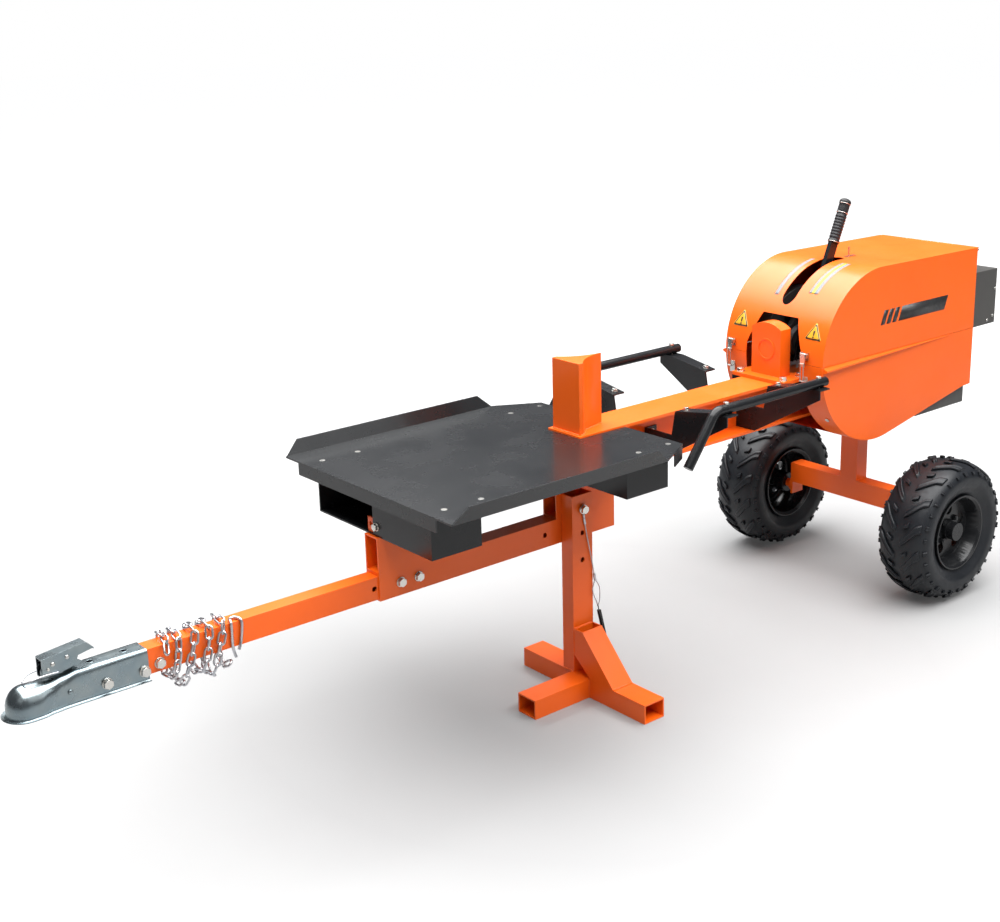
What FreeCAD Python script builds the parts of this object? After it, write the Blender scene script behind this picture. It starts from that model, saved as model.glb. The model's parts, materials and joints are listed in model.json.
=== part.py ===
import FreeCAD, Part
import math
import os

# Kinetic log splitter: tow hitch at -X, flywheel housing at +X, +Z up, ground at z = 0.
# The near side is -Y and the far side is +Y.
# Lengths are measured along X from the back plate of the wedge, and moved to the middle
# of the whole machine when a piece is written.  All sizes are in millimetres.

# ---- driving dimensions -------------------------------------------------------------
TYRE_R = 203.0            # 16 inch tyre
TYRE_HALF_W = 79.0
RIM_R = 101.0             # 8 inch rim
WHEEL_X = 1143.0
HALF_TRACK = 306.0

BEAM_TOP = 659.0
BEAM_H = 120.0
BEAM_HALF_W = 58.0
BEAM_T = 8.0
BEAM_FRONT = -8.0
BEAM_REAR = 1225.0

WEDGE_H = 180.0
WEDGE_LEN = 118.0
WEDGE_HALF_W = 49.0

TONGUE_W, TONGUE_H = 41.0, 55.0
RECEIVER_W, RECEIVER_H = 50.0, 64.0
RECEIVER_FRONT, RECEIVER_REAR = -590.0, 137.0
RECEIVER_Z = 419.0        # height of the tongue's centre line
TUBE_WALL = 4.0
TONGUE_FRONT, TONGUE_REAR = -1290.0, -440.0

COUPLER_TIP = -1457.0
COUPLER_REAR = -1160.0
COUPLER_HALF_W = 27.0
SHEET = 3.0

TABLE_Z = 655.0           # top of the work table
TABLE_T = 4.0
TABLE_FRONT = -605.0
TABLE_SHOULDER = 28.0
TABLE_REAR = 142.0
TABLE_HALF_W = 323.0
TABLE_TIP_Y = 258.0
FLANGE_H = 33.0
FLANGE_LEAN = 12.0

BRACKET_FRONT_X = (-583.0, -446.0)
BRACKET_REAR_X = (-6.0, 132.0)
BRACKET_END_Y = 220.0

HOUSING_HALF_W = 173.0
HOUSING_X, HOUSING_Z = 1010.0, 710.0      # centre of the housing's round front
HOUSING_R = 245.0
HOUSING_REAR = 1457.0
HOUSING_TAIL_Z = 542.0
HOUSING_T = 2.0
SEAM_Z = 712.0            # where the hood meets the lower housing
OPENING_HALF_W = 97.0     # ram tunnel in the front of the housing
OPENING_TOP_HALF_W = 62.0
OPENING_TOP_Z = 828.0

SHAFT_X, SHAFT_Z = 968.0, 714.0           # flywheel shaft
FLYWHEEL_R = 160.0
RAM_FRONT = 736.0
RAM_T = 41.0
RAM_STROKE = 555.0
RACK_REAR = SHAFT_X + RAM_STROKE + 9.0    # the rack stays over the pinion for the whole stroke
MOTOR_X, MOTOR_Z = 1325.0, 835.0
BELT_Y = 124.0

STAND_X, STAND_PIVOT_Z = -10.0, 478.0
STAND_HALF_X = 33.0
STAND_Y = (-66.0, -25.7)
STAND_TOP = 515.0
FOOT_H = 50.0

LEVER_PIVOT = (918.0, 790.0)
LEVER_TILT = 23.8         # degrees behind vertical at rest

RUN = 0.05                # running clearance on a radius
GAP = 0.3                 # clearance of a bolt in its hole

X_MIDDLE = (COUPLER_TIP + 1583.0) / 2     # middle of the machine's length
V = FreeCAD.Vector
X_AXIS, Y_AXIS, Z_AXIS = V(1, 0, 0), V(0, 1, 0), V(0, 0, 1)


# ---- shape helpers ------------------------------------------------------------------
def box(x0, x1, y0, y1, z0, z1):
    return Part.makeBox(x1 - x0, y1 - y0, z1 - z0, V(x0, y0, z0))


def rod(centre, axis, radius, length):
    """Cylinder of the given length, centred on a point."""
    start = V(*centre) - axis * (length / 2)
    return Part.makeCylinder(radius, length, start, axis)


def ring(centre, axis, outer, inner, length):
    return rod(centre, axis, outer, length).cut(rod(centre, axis, inner, length + 2))


def tube_x(x0, x1, half_y, z0, z1, wall, y_mid=0.0):
    outer = box(x0, x1, y_mid - half_y, y_mid + half_y, z0, z1)
    inner = box(x0 - 1, x1 + 1, y_mid - half_y + wall, y_mid + half_y - wall, z0 + wall, z1 - wall)
    return outer.cut(inner)


def tube_y(x0, x1, y0, y1, z0, z1, wall):
    return box(x0, x1, y0, y1, z0, z1).cut(box(x0 + wall, x1 - wall, y0 - 1, y1 + 1, z0 + wall, z1 - wall))


def tube_z(x0, x1, y0, y1, z0, z1, wall):
    return box(x0, x1, y0, y1, z0, z1).cut(box(x0 + wall, x1 - wall, y0 + wall, y1 - wall, z0 - 1, z1 + 1))


def prism(points, direction):
    """Prism from a closed outline of points, swept along a vector."""
    outline = [V(*p) for p in points]
    wire = Part.makePolygon(outline + [outline[0]])
    return Part.Face(wire).extrude(direction)


def hexagon(centre, axis, across_flats, height):
    """Hexagonal prism starting at a point and rising along an axis."""
    side = X_AXIS if abs(axis.x) < 0.5 else Y_AXIS
    other = axis.cross(side)
    radius = across_flats / math.sqrt(3)
    corners = []
    for step in range(6):
        turn = math.radians(60 * step)
        corners.append(V(*centre) + side * (radius * math.cos(turn)) + other * (radius * math.sin(turn)))
    return prism(corners, axis * height)


def bolt(head_at, axis, grip, size=10.0, washer=True):
    """Hex bolt with its washer and nut; head_at is under the head, the shank runs along axis."""
    at = V(*head_at)
    flats = size * 1.6
    lift = 2.0 if washer else 0.0
    body = hexagon(at - axis * (size * 0.65 + lift), axis, flats, size * 0.65)
    body = body.fuse(Part.makeCylinder(size / 2, grip + size + lift * 2, at - axis * lift, axis))
    if washer:
        body = body.fuse(Part.makeCylinder(size, lift, at - axis * lift, axis))
        body = body.fuse(Part.makeCylinder(size, lift, at + axis * grip, axis))
    nut_at = at + axis * (grip + lift)
    return body.fuse(hexagon(nut_at, axis, flats, size * 0.8)).removeSplitter()


def drill(shape, centres, axis, radius, length=400.0):
    for centre in centres:
        shape = shape.cut(rod(centre, axis, radius, length))
    return shape


def mirror_y(shape):
    return shape.mirror(V(0, 0, 0), Y_AXIS)


def edges_to_face(edges):
    return Part.Face(Part.Wire(Part.__sortEdges__(edges)))


def line(a, b):
    return Part.LineSegment(V(*a), V(*b)).toShape()


def arc(a, mid, b):
    return Part.Arc(V(*a), V(*mid), V(*b)).toShape()


def write(name, *solids):
    """Write one node: its solids stay separate, moved to the middle of the machine."""
    shape = solids[0] if len(solids) == 1 else Part.makeCompound(list(solids))
    moved = shape.copy()
    moved.translate(V(-X_MIDDLE, 0, 0))
    moved.exportStep("parts/" + name + ".step")
    loose = [s for s in moved.Solids if not s.isValid() or s.Volume <= 0]
    print(name, len(moved.Solids), "solids", round(moved.Volume / 1000, 1), "cm3", len(loose), "bad")


# ---- tow coupler --------------------------------------------------------------------
COUPLER_TOP = RECEIVER_Z + TONGUE_H / 2 + 0.5 + SHEET
COUPLER_BOTTOM = 386.0
DOME_X = -1412.0
COUPLER_BOLT_X = (-1251.0, -1170.0)
COUPLER_TOP_HOLE_X = (-1300.0, -1205.0)


def coupler_body():
    inner_half = TONGUE_W / 2 + 0.3
    channel = box(DOME_X, COUPLER_REAR, -COUPLER_HALF_W, COUPLER_HALF_W, COUPLER_BOTTOM, COUPLER_TOP)
    lip_half = COUPLER_HALF_W + 9
    lip = box(DOME_X, COUPLER_REAR, -lip_half, lip_half, COUPLER_BOTTOM - SHEET, COUPLER_BOTTOM + 0.01)
    nose_lip = Part.makeCylinder(45, SHEET, V(DOME_X, 0, COUPLER_BOTTOM - SHEET))
    dome = Part.makeSphere(36, V(DOME_X, 0, COUPLER_BOTTOM + 20))
    dome = dome.fuse(Part.makeCylinder(36, 20, V(DOME_X, 0, COUPLER_BOTTOM)))
    keep = box(DOME_X - 60, COUPLER_REAR, -60, 60, COUPLER_BOTTOM - SHEET, COUPLER_TOP)
    body = channel.fuse(lip).fuse(nose_lip).fuse(dome).common(keep)
    under = COUPLER_TOP - SHEET
    hollow = box(DOME_X + 29, COUPLER_REAR + 1, -inner_half, inner_half, COUPLER_BOTTOM - 5, under)
    socket = Part.makeSphere(26, V(DOME_X, 0, COUPLER_BOTTOM + 18))
    socket = socket.fuse(Part.makeCylinder(26, 40, V(DOME_X, 0, COUPLER_BOTTOM - 22)))
    body = body.cut(hollow).cut(socket)
    slope = [(-1470, -60, COUPLER_TOP + 1), (-1382, -60, COUPLER_TOP + 1), (-1400, -60, COUPLER_TOP - 9),
             (-1470, -60, COUPLER_TOP - 9)]
    body = body.cut(prism(slope, V(0, 120, 0)))
    body = drill(body, [(x, 0, COUPLER_TOP) for x in COUPLER_TOP_HOLE_X], Z_AXIS, 6.5, 12)
    return drill(body, [(x, 0, 405) for x in COUPLER_BOLT_X], Y_AXIS, 6 + GAP)


LATCH_PIVOT = (-1362.0, 0.0, COUPLER_TOP + 16.0)


def coupler_latch_bracket():
    """Two ears that carry the latch lever, standing on the front of the coupler's top."""
    x, _, z = LATCH_PIVOT
    profile = [(-14, COUPLER_TOP), (30, COUPLER_TOP), (30, z - 6), (8, z + 8), (-8, z + 8), (-14, z)]
    bracket = box(x - 14, x + 30, -7.5, 7.5, COUPLER_TOP, COUPLER_TOP + 2.5)
    for side in (-1, 1):
        ear = prism([(x + dx, 9.0 * side - 1.5, height) for dx, height in profile], V(0, 3, 0))
        bracket = bracket.fuse(ear)
    return bracket.cut(rod(LATCH_PIVOT, Y_AXIS, 3.0 + GAP, 60)).removeSplitter()


def coupler_latch_pin():
    return rod(LATCH_PIVOT, Y_AXIS, 3.0, 32)


def coupler_latch_lever():
    """Folded handle: an inverted channel that lies over the coupler and lifts at its rear."""
    x, _, z = LATCH_PIVOT
    profile = [(-12, -5), (-6, -12), (32, -12), (50, -8), (60, -10), (70, -3), (60, 4), (63, 11), (95, 17),
               (80, 33), (-12, 23)]
    outer = prism([(x + dx, -14, z + dz) for dx, dz in profile], V(0, 28, 0))
    walls = outer.cut(box(x - 30, x + 120, -11.5, 11.5, z - 20, z + 60))
    skin = [(-12, 20.5), (80, 30.5), (95, 14.5), (97, 17), (80, 33.2), (-12, 23.2)]
    lid = prism([(x + dx, -14, z + dz) for dx, dz in skin], V(0, 28, 0))
    lever = walls.fuse(lid).removeSplitter()
    return lever.cut(rod(LATCH_PIVOT, Y_AXIS, 3.0 + RUN, 60))


# ---- drawbar ------------------------------------------------------------------------
CHAIN_BOLT_X = -1133.0
DRAWBAR_BOLT_X = (-531.0, -481.0)


def tongue_tube():
    half_w, half_h = TONGUE_W / 2, TONGUE_H / 2
    tube = tube_x(TONGUE_FRONT, TONGUE_REAR, half_w, RECEIVER_Z - half_h, RECEIVER_Z + half_h, 3.5)
    tube = drill(tube, [(x, 0, 405) for x in COUPLER_BOLT_X], Y_AXIS, 6 + GAP)
    tube = drill(tube, [(x, 0, RECEIVER_Z) for x in DRAWBAR_BOLT_X], Y_AXIS, 6 + GAP)
    tube = drill(tube, [(-601, 0, RECEIVER_Z)], Y_AXIS, 6.5)
    return drill(tube, [(CHAIN_BOLT_X, 0, RECEIVER_Z - 9)], Y_AXIS, 6 + GAP)


LINK_PITCH, LINK_HALF_W, LINK_WIRE = 24.0, 9.0, 2.9
CHAIN_LOOPS = ((-1104.0, 8.0, 6.0), (-1072.0, 10.0, 34.0), (-1030.0, 9.0, 12.0), (-996.0, 12.0, 42.0))


def chain_link():
    """Closed stadium-shaped link at the origin: long in X, wide in Y."""
    half = LINK_PITCH / 2
    rounds = []
    for sign in (-1, 1):
        turn = Part.makeTorus(LINK_HALF_W, LINK_WIRE, V(sign * half, 0, 0), Z_AXIS)
        x0, x1 = sorted((sign * half, sign * (half + 20)))
        rounds.append(turn.common(box(x0, x1, -20, 20, -5, 5)))
    link = rounds[0].fuse(rounds[1])
    for sign in (-1, 1):
        link = link.fuse(rod((0, sign * LINK_HALF_W, 0), X_AXIS, LINK_WIRE, LINK_PITCH))
    return link.removeSplitter()


def chain_loop(link, x_mid, lean, drop):
    """One loose turn of chain round the drawbar, its links turned a quarter to each other."""
    half_y, half_z = 44.0, 50.0 + drop / 2
    perimeter = math.pi * (3 * (half_y + half_z) - math.sqrt((3 * half_y + half_z) * (half_y + 3 * half_z)))
    count = round(perimeter / 33.0)
    links = []
    for step in range(count):
        turn = 2 * math.pi * step / count
        y, z = half_y * math.cos(turn), half_z * math.sin(turn)
        along = V(lean * math.cos(turn), -half_y * math.sin(turn), half_z * math.cos(turn)).normalize()
        outward = V(0, math.cos(turn) / half_y, math.sin(turn) / half_z).normalize()
        roll = FreeCAD.Rotation(X_AXIS, 45 + 90 * (step % 2))
        aim = FreeCAD.Rotation(along, outward, V(0, 0, 0), "XYZ").multiply(roll)
        place = FreeCAD.Placement(V(x_mid + lean * math.sin(turn), y, RECEIVER_Z - drop / 2 + z), aim)
        links.append(link.transformed(place.toMatrix()))
    return links


def receiver_tube():
    low, high = RECEIVER_Z - RECEIVER_H / 2, RECEIVER_Z + RECEIVER_H / 2
    tube = tube_x(RECEIVER_FRONT, RECEIVER_REAR, RECEIVER_W / 2, low, high, TUBE_WALL)
    tube = drill(tube, [(x, 0, RECEIVER_Z) for x in DRAWBAR_BOLT_X], Y_AXIS, 6 + GAP)
    return drill(tube, [(-96, 0, RECEIVER_Z)], Y_AXIS, 6.5)


def riser(x0, x1, holes):
    """Rectangular tube between the receiver and what it carries."""
    z0, z1 = RECEIVER_Z + RECEIVER_H / 2, BEAM_TOP - BEAM_H
    tube = tube_x(x0, x1, RECEIVER_W / 2, z0, z1, TUBE_WALL)
    return drill(tube, holes, Y_AXIS, 6 + GAP)


# ---- beam and wedge -----------------------------------------------------------------
def main_beam():
    """I-section: two flanges and a web."""
    z0 = BEAM_TOP - BEAM_H
    top = box(BEAM_FRONT, BEAM_REAR, -BEAM_HALF_W, BEAM_HALF_W, BEAM_TOP - BEAM_T, BEAM_TOP)
    bottom = box(BEAM_FRONT, BEAM_REAR, -BEAM_HALF_W, BEAM_HALF_W, z0, z0 + BEAM_T)
    web = box(BEAM_FRONT, BEAM_REAR, -BEAM_T / 2, BEAM_T / 2, z0 + BEAM_T, BEAM_TOP - BEAM_T)
    beam = top.fuse(bottom).fuse(web).removeSplitter()
    web_holes = [(x + ARM_BOLT, 0, z) for x in CRADLE_ARM_X for z in CRADLE_BOLT_Z]
    web_holes += [(x, 0, REAR_BOLT_Z) for x in REAR_BOLT_X]
    beam = drill(beam, web_holes, Y_AXIS, 5 + GAP, 20)
    post_holes = [(x, y, z0) for x, y in POST_BOLTS]
    return drill(beam, post_holes, Z_AXIS, 5 + GAP, 30)


def wedge():
    """Splitting wedge: flat back, hollow cheeks and a vertical cutting edge towards the ram."""
    z0 = BEAM_TOP
    a, b = (0, -WEDGE_HALF_W, z0), (0, WEDGE_HALF_W, z0)
    c, d = (14, WEDGE_HALF_W, z0), (WEDGE_LEN, 1.5, z0)
    e, f = (WEDGE_LEN, -1.5, z0), (14, -WEDGE_HALF_W, z0)
    cheek_far, cheek_near = (48, 20, z0), (48, -20, z0)
    edges = [line(a, b), line(b, c), arc(c, cheek_far, d), line(d, e), arc(e, cheek_near, f), line(f, a)]
    return edges_to_face(edges).extrude(V(0, 0, WEDGE_H))


# ---- work table ---------------------------------------------------------------------
TABLE_SCREWS = [(x, y) for x in (-558.0, -458.0) for y in (-236.0, 236.0)]
TABLE_SCREWS += [(x, y) for x in (18.0, 116.0) for y in (-235.0, 235.0)]


def work_table():
    z0, z1 = TABLE_Z - TABLE_T, TABLE_Z
    half, tip = TABLE_HALF_W, TABLE_TIP_Y
    near_edge = [(TABLE_FRONT, -half, z0), (TABLE_SHOULDER, -half, z0), (TABLE_REAR, -tip, z0)]
    far_edge = [(TABLE_REAR, tip, z0), (TABLE_SHOULDER, half, z0), (TABLE_FRONT, half, z0)]
    plate = prism(near_edge + far_edge, V(0, 0, TABLE_T))
    notch = box(BEAM_FRONT - 2, TABLE_REAR + 1, -BEAM_HALF_W - 2, BEAM_HALF_W + 2, z0 - 1, z1 + 1)
    plate = plate.cut(notch)
    front = box(TABLE_FRONT, TABLE_FRONT + TABLE_T, -268, 268, z1 - 33, z0 + 0.5)
    table = plate.fuse(front)
    for side in (-1, 1):
        table = table.fuse(side_flange(side)).fuse(rear_tab(side))
    cuts = [(x, y, z1) for x, y in TABLE_SCREWS]
    for cut in cuts:
        table = table.cut(Part.makeCone(3.4, 7.4, 4.2, V(cut[0], cut[1], z0 - 0.1)))
    return table.removeSplitter()


def side_flange(side):
    """Raised rim along one long side, leaning outwards, with chamfered ends."""
    z0, z1 = TABLE_Z - TABLE_T, TABLE_Z + FLANGE_H
    y0, y1 = side * (TABLE_HALF_W - TABLE_T), side * (TABLE_HALF_W + FLANGE_LEAN)
    section = prism([(TABLE_FRONT, y0, z0), (TABLE_FRONT, y0 + side * TABLE_T, z0),
                     (TABLE_FRONT, y1, z1), (TABLE_FRONT, y1 - side * TABLE_T, z1)],
                    V(TABLE_SHOULDER - TABLE_FRONT, 0, 0))
    side_view = prism([(TABLE_FRONT, -400, z0), (TABLE_SHOULDER, -400, z0), (TABLE_SHOULDER - 42, -400, z1),
                       (TABLE_FRONT + 40, -400, z1)], V(0, 800, 0))
    return section.common(side_view)


def rear_tab(side):
    """Short stiffening lip bent down along the slanted rear corner."""
    z1 = TABLE_Z - TABLE_T + 0.5
    slope = (TABLE_HALF_W - TABLE_TIP_Y) / (TABLE_REAR - TABLE_SHOULDER)
    x0, y0 = TABLE_REAR - 60, TABLE_TIP_Y + 60 * slope
    outer = [(x0, side * y0, z1), (TABLE_REAR, side * TABLE_TIP_Y, z1)]
    inner = [(TABLE_REAR, side * (TABLE_TIP_Y - 4.5), z1), (x0, side * (y0 - 4.5), z1)]
    return prism(outer + inner, V(0, 0, -34))


def box_bracket(x_span, side, closed_front, y_inner):
    """Folded box under the table, open on one X face, with a lip outside for the table's screws."""
    x0, x1 = x_span
    z0, z1 = BEAM_TOP - BEAM_H, TABLE_Z - TABLE_T
    wall = 4.0
    shell = box(x0, x1, y_inner, BRACKET_END_Y, z0, z1)
    if closed_front:
        inner = box(x0 + wall, x1 + 1, y_inner - 1, BRACKET_END_Y - wall, z0 + wall, z1 - wall)
    else:
        inner = box(x0 - 1, x1 - wall, y_inner - 1, BRACKET_END_Y - wall, z0 + wall, z1 - wall)
    lip = box(x0, x1, BRACKET_END_Y, BRACKET_END_Y + 34, z1 - wall, z1)
    bracket = shell.cut(inner).fuse(lip)
    if side < 0:
        bracket = mirror_y(bracket)
    holes = [(x, y, z1) for x, y in TABLE_SCREWS]
    return drill(bracket, holes, Z_AXIS, 3.7, 12)


FRONT_TAB_X = (BRACKET_FRONT_X[0] + 4.0, BRACKET_FRONT_X[1] - 10.0)
FRONT_TAB_T = 6.0
FRONT_BOLT_Y = 14.0
FRONT_BOLT_Z = 562.0
REAR_BOLT_X = (50.0, 168.0)
REAR_BOLT_Z = 602.0


def front_bracket(side):
    """Front bracket, slotted where the riser's tabs come up and bolted to one of them."""
    bracket = box_bracket(BRACKET_FRONT_X, side, side < 0, 0.5)
    for x in FRONT_TAB_X:
        bracket = bracket.cut(box(x - 0.5, x + FRONT_TAB_T + 0.5, -26, 26, BEAM_TOP - BEAM_H - 1, 545))
    return drill(bracket, [(-515, side * FRONT_BOLT_Y, FRONT_BOLT_Z)], X_AXIS, 5 + GAP)


def rear_bracket(side):
    """Rear bracket: its closed wall runs in between the beam's flanges to a foot on the web."""
    bracket = box_bracket(BRACKET_REAR_X, side, side < 0, BEAM_HALF_W + 1)
    z0, z1 = BEAM_TOP - BEAM_H + BEAM_T + 1, BEAM_TOP - BEAM_T - 4
    wall_x = BRACKET_REAR_X[0] if side < 0 else BRACKET_REAR_X[1] - 4
    wall = box(wall_x, wall_x + 4, 4, BEAM_HALF_W + 2, z0, z1)
    foot_x = wall_x if side < 0 else 30
    foot = box(foot_x, REAR_BOLT_X[1] + 20, 4, 8, z0, z1)
    inside = wall.fuse(foot)
    if side < 0:
        inside = mirror_y(inside)
    bracket = bracket.fuse(inside).removeSplitter()
    return drill(bracket, [(x, 0, REAR_BOLT_Z) for x in REAR_BOLT_X], Y_AXIS, 5 + GAP, 40)


def front_riser():
    """Riser under the front brackets, with two upright tabs for their bolts."""
    z1 = BEAM_TOP - BEAM_H
    tube = riser(RECEIVER_FRONT, BRACKET_FRONT_X[1], [])
    for x in FRONT_TAB_X:
        tube = tube.fuse(box(x, x + FRONT_TAB_T, -25, 25, z1, 578))
    holes = [(-515, side * FRONT_BOLT_Y, FRONT_BOLT_Z) for side in (-1, 1)]
    return drill(tube.removeSplitter(), holes, X_AXIS, 5 + GAP)


def bracket_bolts():
    bolts = [bolt((BRACKET_FRONT_X[0], -FRONT_BOLT_Y, FRONT_BOLT_Z), X_AXIS, 10),
             bolt((BRACKET_FRONT_X[1], FRONT_BOLT_Y, FRONT_BOLT_Z), -X_AXIS, 10)]
    for x in REAR_BOLT_X:
        bolts.append(bolt((x, -8, REAR_BOLT_Z), Y_AXIS, 16))
    return bolts


# ---- log cradles --------------------------------------------------------------------
RAIL_R = 12.5
RAIL_Y, RAIL_Z = 263.0, 713.0
RAIL_REAR, RAIL_BEND = 664.0, 250.0
RAIL_END = (156.0, 589.0)
CRADLE_ARM_X = (266.0, 615.0)
CRADLE_BOLT_Z = (564.0, 600.0)
ARM_BOLT = 22.0           # bolts sit this far behind an arm's plate
ARM_W = 40.0
ARM_OUTER_Y = 286.0


def cradle_rail(side):
    """Round bar along the beam that turns down towards the table at its front end."""
    y = side * RAIL_Y
    bend = V(RAIL_BEND, y, RAIL_Z)
    end = V(RAIL_END[0], y, RAIL_END[1])
    down = (end - bend).normalize()
    reach = 16.0
    first, last = bend + X_AXIS * reach, bend + down * reach
    inward = (X_AXIS + down).normalize()
    turn_half = math.pi / 2 - math.acos(X_AXIS.dot(inward))
    radius = reach / math.tan(turn_half)
    centre = bend + inward * (radius / math.cos(turn_half))
    middle = centre - inward * radius
    path = [Part.LineSegment(V(RAIL_REAR, y, RAIL_Z), first).toShape(),
            Part.Arc(first, middle, last).toShape(), Part.LineSegment(last, end).toShape()]
    disc = Part.Wire([Part.makeCircle(RAIL_R, V(RAIL_REAR, y, RAIL_Z), X_AXIS)])
    rail = Part.Wire(path).makePipeShell([disc], True, False)
    return drill(rail, [(x + ARM_BOLT, y, RAIL_Z) for x in CRADLE_ARM_X], Z_AXIS, 4 + GAP, 60)


def cradle_arm(x, side):
    """Folded gusset from the beam's web out to a rail, with a sloping flange along its top."""
    z_top = RAIL_Z - RAIL_R
    z_low, z_foot = 548.0, 616.0
    top = [(112, z_top - 20), (232, z_top), (ARM_OUTER_Y, z_top)]
    outline = [(8, z_low), (8, z_foot), (100, z_foot)] + top + [(ARM_OUTER_Y, z_top - 26), (70, z_low)]
    skin = top + [(y, z - 4) for y, z in reversed(top)]
    arm = prism([(x, y, z) for y, z in outline], V(4, 0, 0))
    flange = prism([(x, y, z) for y, z in skin], V(ARM_W, 0, 0))
    foot = box(x, x + ARM_W, 4, 8, z_low, z_foot)
    arm = arm.fuse(flange).fuse(foot).removeSplitter()
    if side < 0:
        arm = mirror_y(arm)
    arm = drill(arm, [(x + ARM_BOLT, side * RAIL_Y, z_top)], Z_AXIS, 4 + GAP, 20)
    return drill(arm, [(x + ARM_BOLT, 0, z) for z in CRADLE_BOLT_Z], Y_AXIS, 5 + GAP, 40)


def cradle_bolts():
    bolts = []
    for x in CRADLE_ARM_X:
        for z in CRADLE_BOLT_Z:
            bolts.append(bolt((x + ARM_BOLT, -8, z), Y_AXIS, 16))
        for side in (-1, 1):
            top = RAIL_Z + RAIL_R
            bolts.append(bolt((x + ARM_BOLT, side * RAIL_Y, top), -Z_AXIS, RAIL_R * 2 + 4, 8, False))
    return bolts


# ---- axle and wheels ----------------------------------------------------------------
AXLE_X = (1119.0, 1167.0)
AXLE_Z = (218.0, 279.0)
AXLE_END = 209.0
SPINDLE_R = 12.7
SPINDLE_END = 356.0
POST_BOLTS = [(x, y) for x in (1126.0, 1160.0) for y in (-46.0, 46.0)]


def axle_beam():
    """Square tube across the machine with a drop plate and a spindle at each end."""
    x0, x1 = AXLE_X
    axle = tube_y(x0, x1, -AXLE_END, AXLE_END, AXLE_Z[0], AXLE_Z[1], TUBE_WALL)
    for side in (-1, 1):
        y0, y1 = sorted((side * AXLE_END, side * (AXLE_END + 8)))
        plate = box(x0, x1, y0, y1, 180, AXLE_Z[1])
        spindle = rod((WHEEL_X, side * (AXLE_END + SPINDLE_END) / 2, TYRE_R), Y_AXIS, SPINDLE_R,
                      SPINDLE_END - AXLE_END)
        collar = rod((WHEEL_X, side * (AXLE_END + 14), TYRE_R), Y_AXIS, 20, 12)
        axle = axle.fuse(plate).fuse(spindle).fuse(collar)
    return axle.removeSplitter()


def axle_post():
    """Upright tube from the axle to a flange bolted under the beam."""
    top = BEAM_TOP - BEAM_H
    tube = tube_z(AXLE_X[0], AXLE_X[1], -30, 30, AXLE_Z[1], top - 8, TUBE_WALL)
    flange = box(AXLE_X[0], AXLE_X[1], -BEAM_HALF_W, BEAM_HALF_W, top - 8, top)
    post = tube.fuse(flange).removeSplitter()
    return drill(post, [(x, y, top) for x, y in POST_BOLTS], Z_AXIS, 5 + GAP, 30)


def post_bolts():
    return [bolt((x, y, BEAM_TOP - BEAM_H - 8), Z_AXIS, 8 + BEAM_T) for x, y in POST_BOLTS]


def turned(profile, side):
    """Solid of revolution about a wheel's axis from points of (distance from middle plane, radius)."""
    points = [V(WHEEL_X, side * (HALF_TRACK + across), TYRE_R + radius) for across, radius in profile]
    face = Part.Face(Part.makePolygon(points + [points[0]]))
    return face.revolve(V(WHEEL_X, 0, TYRE_R), Y_AXIS, 360)


def tyre(side):
    """Tyre carcass: round shoulders, a crowned tread and two beads on the rim."""
    section = [(-62, RIM_R + 0.2)]
    for step in range(13):
        turn = math.radians(200 - 220 * step / 12)
        across = TYRE_HALF_W * math.copysign(abs(math.cos(turn)) ** 0.75, math.cos(turn))
        rise = 152 + 51 * math.copysign(abs(math.sin(turn)) ** 0.8, math.sin(turn))
        section.append((across, rise))
    section += [(62, RIM_R + 0.2), (50, RIM_R + 0.2), (50, 112)]
    for step in range(7):
        turn = math.radians(-10 + 200 * step / 6)
        section.append((68 * math.cos(turn), 152 + 36 * math.sin(turn)))
    section += [(-50, 112), (-50, RIM_R + 0.2)]
    return turned(section, side)


def rim(side):
    """Pressed rim: a dropped barrel with flanges, and a dished disc with slots."""
    section = [(-70, 108), (-70, 104), (-64, 96), (-30, 90), (20, 90), (24, 86), (24, 30), (30, 30),
               (30, 84), (64, 96), (70, 104), (70, 108), (66, 108), (62, RIM_R), (40, RIM_R), (24, 94),
               (-30, 94), (-44, RIM_R), (-62, RIM_R), (-66, 108)]
    disc = turned(section, side)
    for step in range(5):
        turn = math.radians(72 * step + 20)
        x, z = WHEEL_X + 60 * math.cos(turn), TYRE_R + 60 * math.sin(turn)
        disc = disc.cut(rod((x, side * (HALF_TRACK + 27), z), Y_AXIS, 15, 30))
    for step in range(4):
        turn = math.radians(90 * step + 45)
        x, z = WHEEL_X + 39 * math.cos(turn), TYRE_R + 39 * math.sin(turn)
        disc = disc.cut(rod((x, side * (HALF_TRACK + 27), z), Y_AXIS, 5.2, 30))
    return disc


def wheel_hub(side):
    """Hub with a flange against the rim's disc, bored to run on the spindle."""
    inner, outer = HALF_TRACK - 60, SPINDLE_END - 8
    hub = rod((WHEEL_X, side * (inner + outer) / 2, TYRE_R), Y_AXIS, 29.5, outer - inner)
    flange = rod((WHEEL_X, side * (HALF_TRACK + 20), TYRE_R), Y_AXIS, 48, 8)
    hub = hub.fuse(flange)
    hub = hub.cut(rod((WHEEL_X, 0, TYRE_R), Y_AXIS, SPINDLE_R + RUN, 900))
    for step in range(4):
        turn = math.radians(90 * step + 45)
        x, z = WHEEL_X + 39 * math.cos(turn), TYRE_R + 39 * math.sin(turn)
        hub = hub.cut(rod((x, side * (HALF_TRACK + 20), z), Y_AXIS, 5.2, 20))
    return hub


def lug_bolts(side):
    """Bolts that clamp the rim's disc to the hub's flange."""
    bolts = []
    for step in range(4):
        turn = math.radians(90 * step + 45)
        x, z = WHEEL_X + 39 * math.cos(turn), TYRE_R + 39 * math.sin(turn)
        bolts.append(bolt((x, side * (HALF_TRACK + 16), z), Y_AXIS * side, 14, 10, False))
    return bolts


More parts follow.
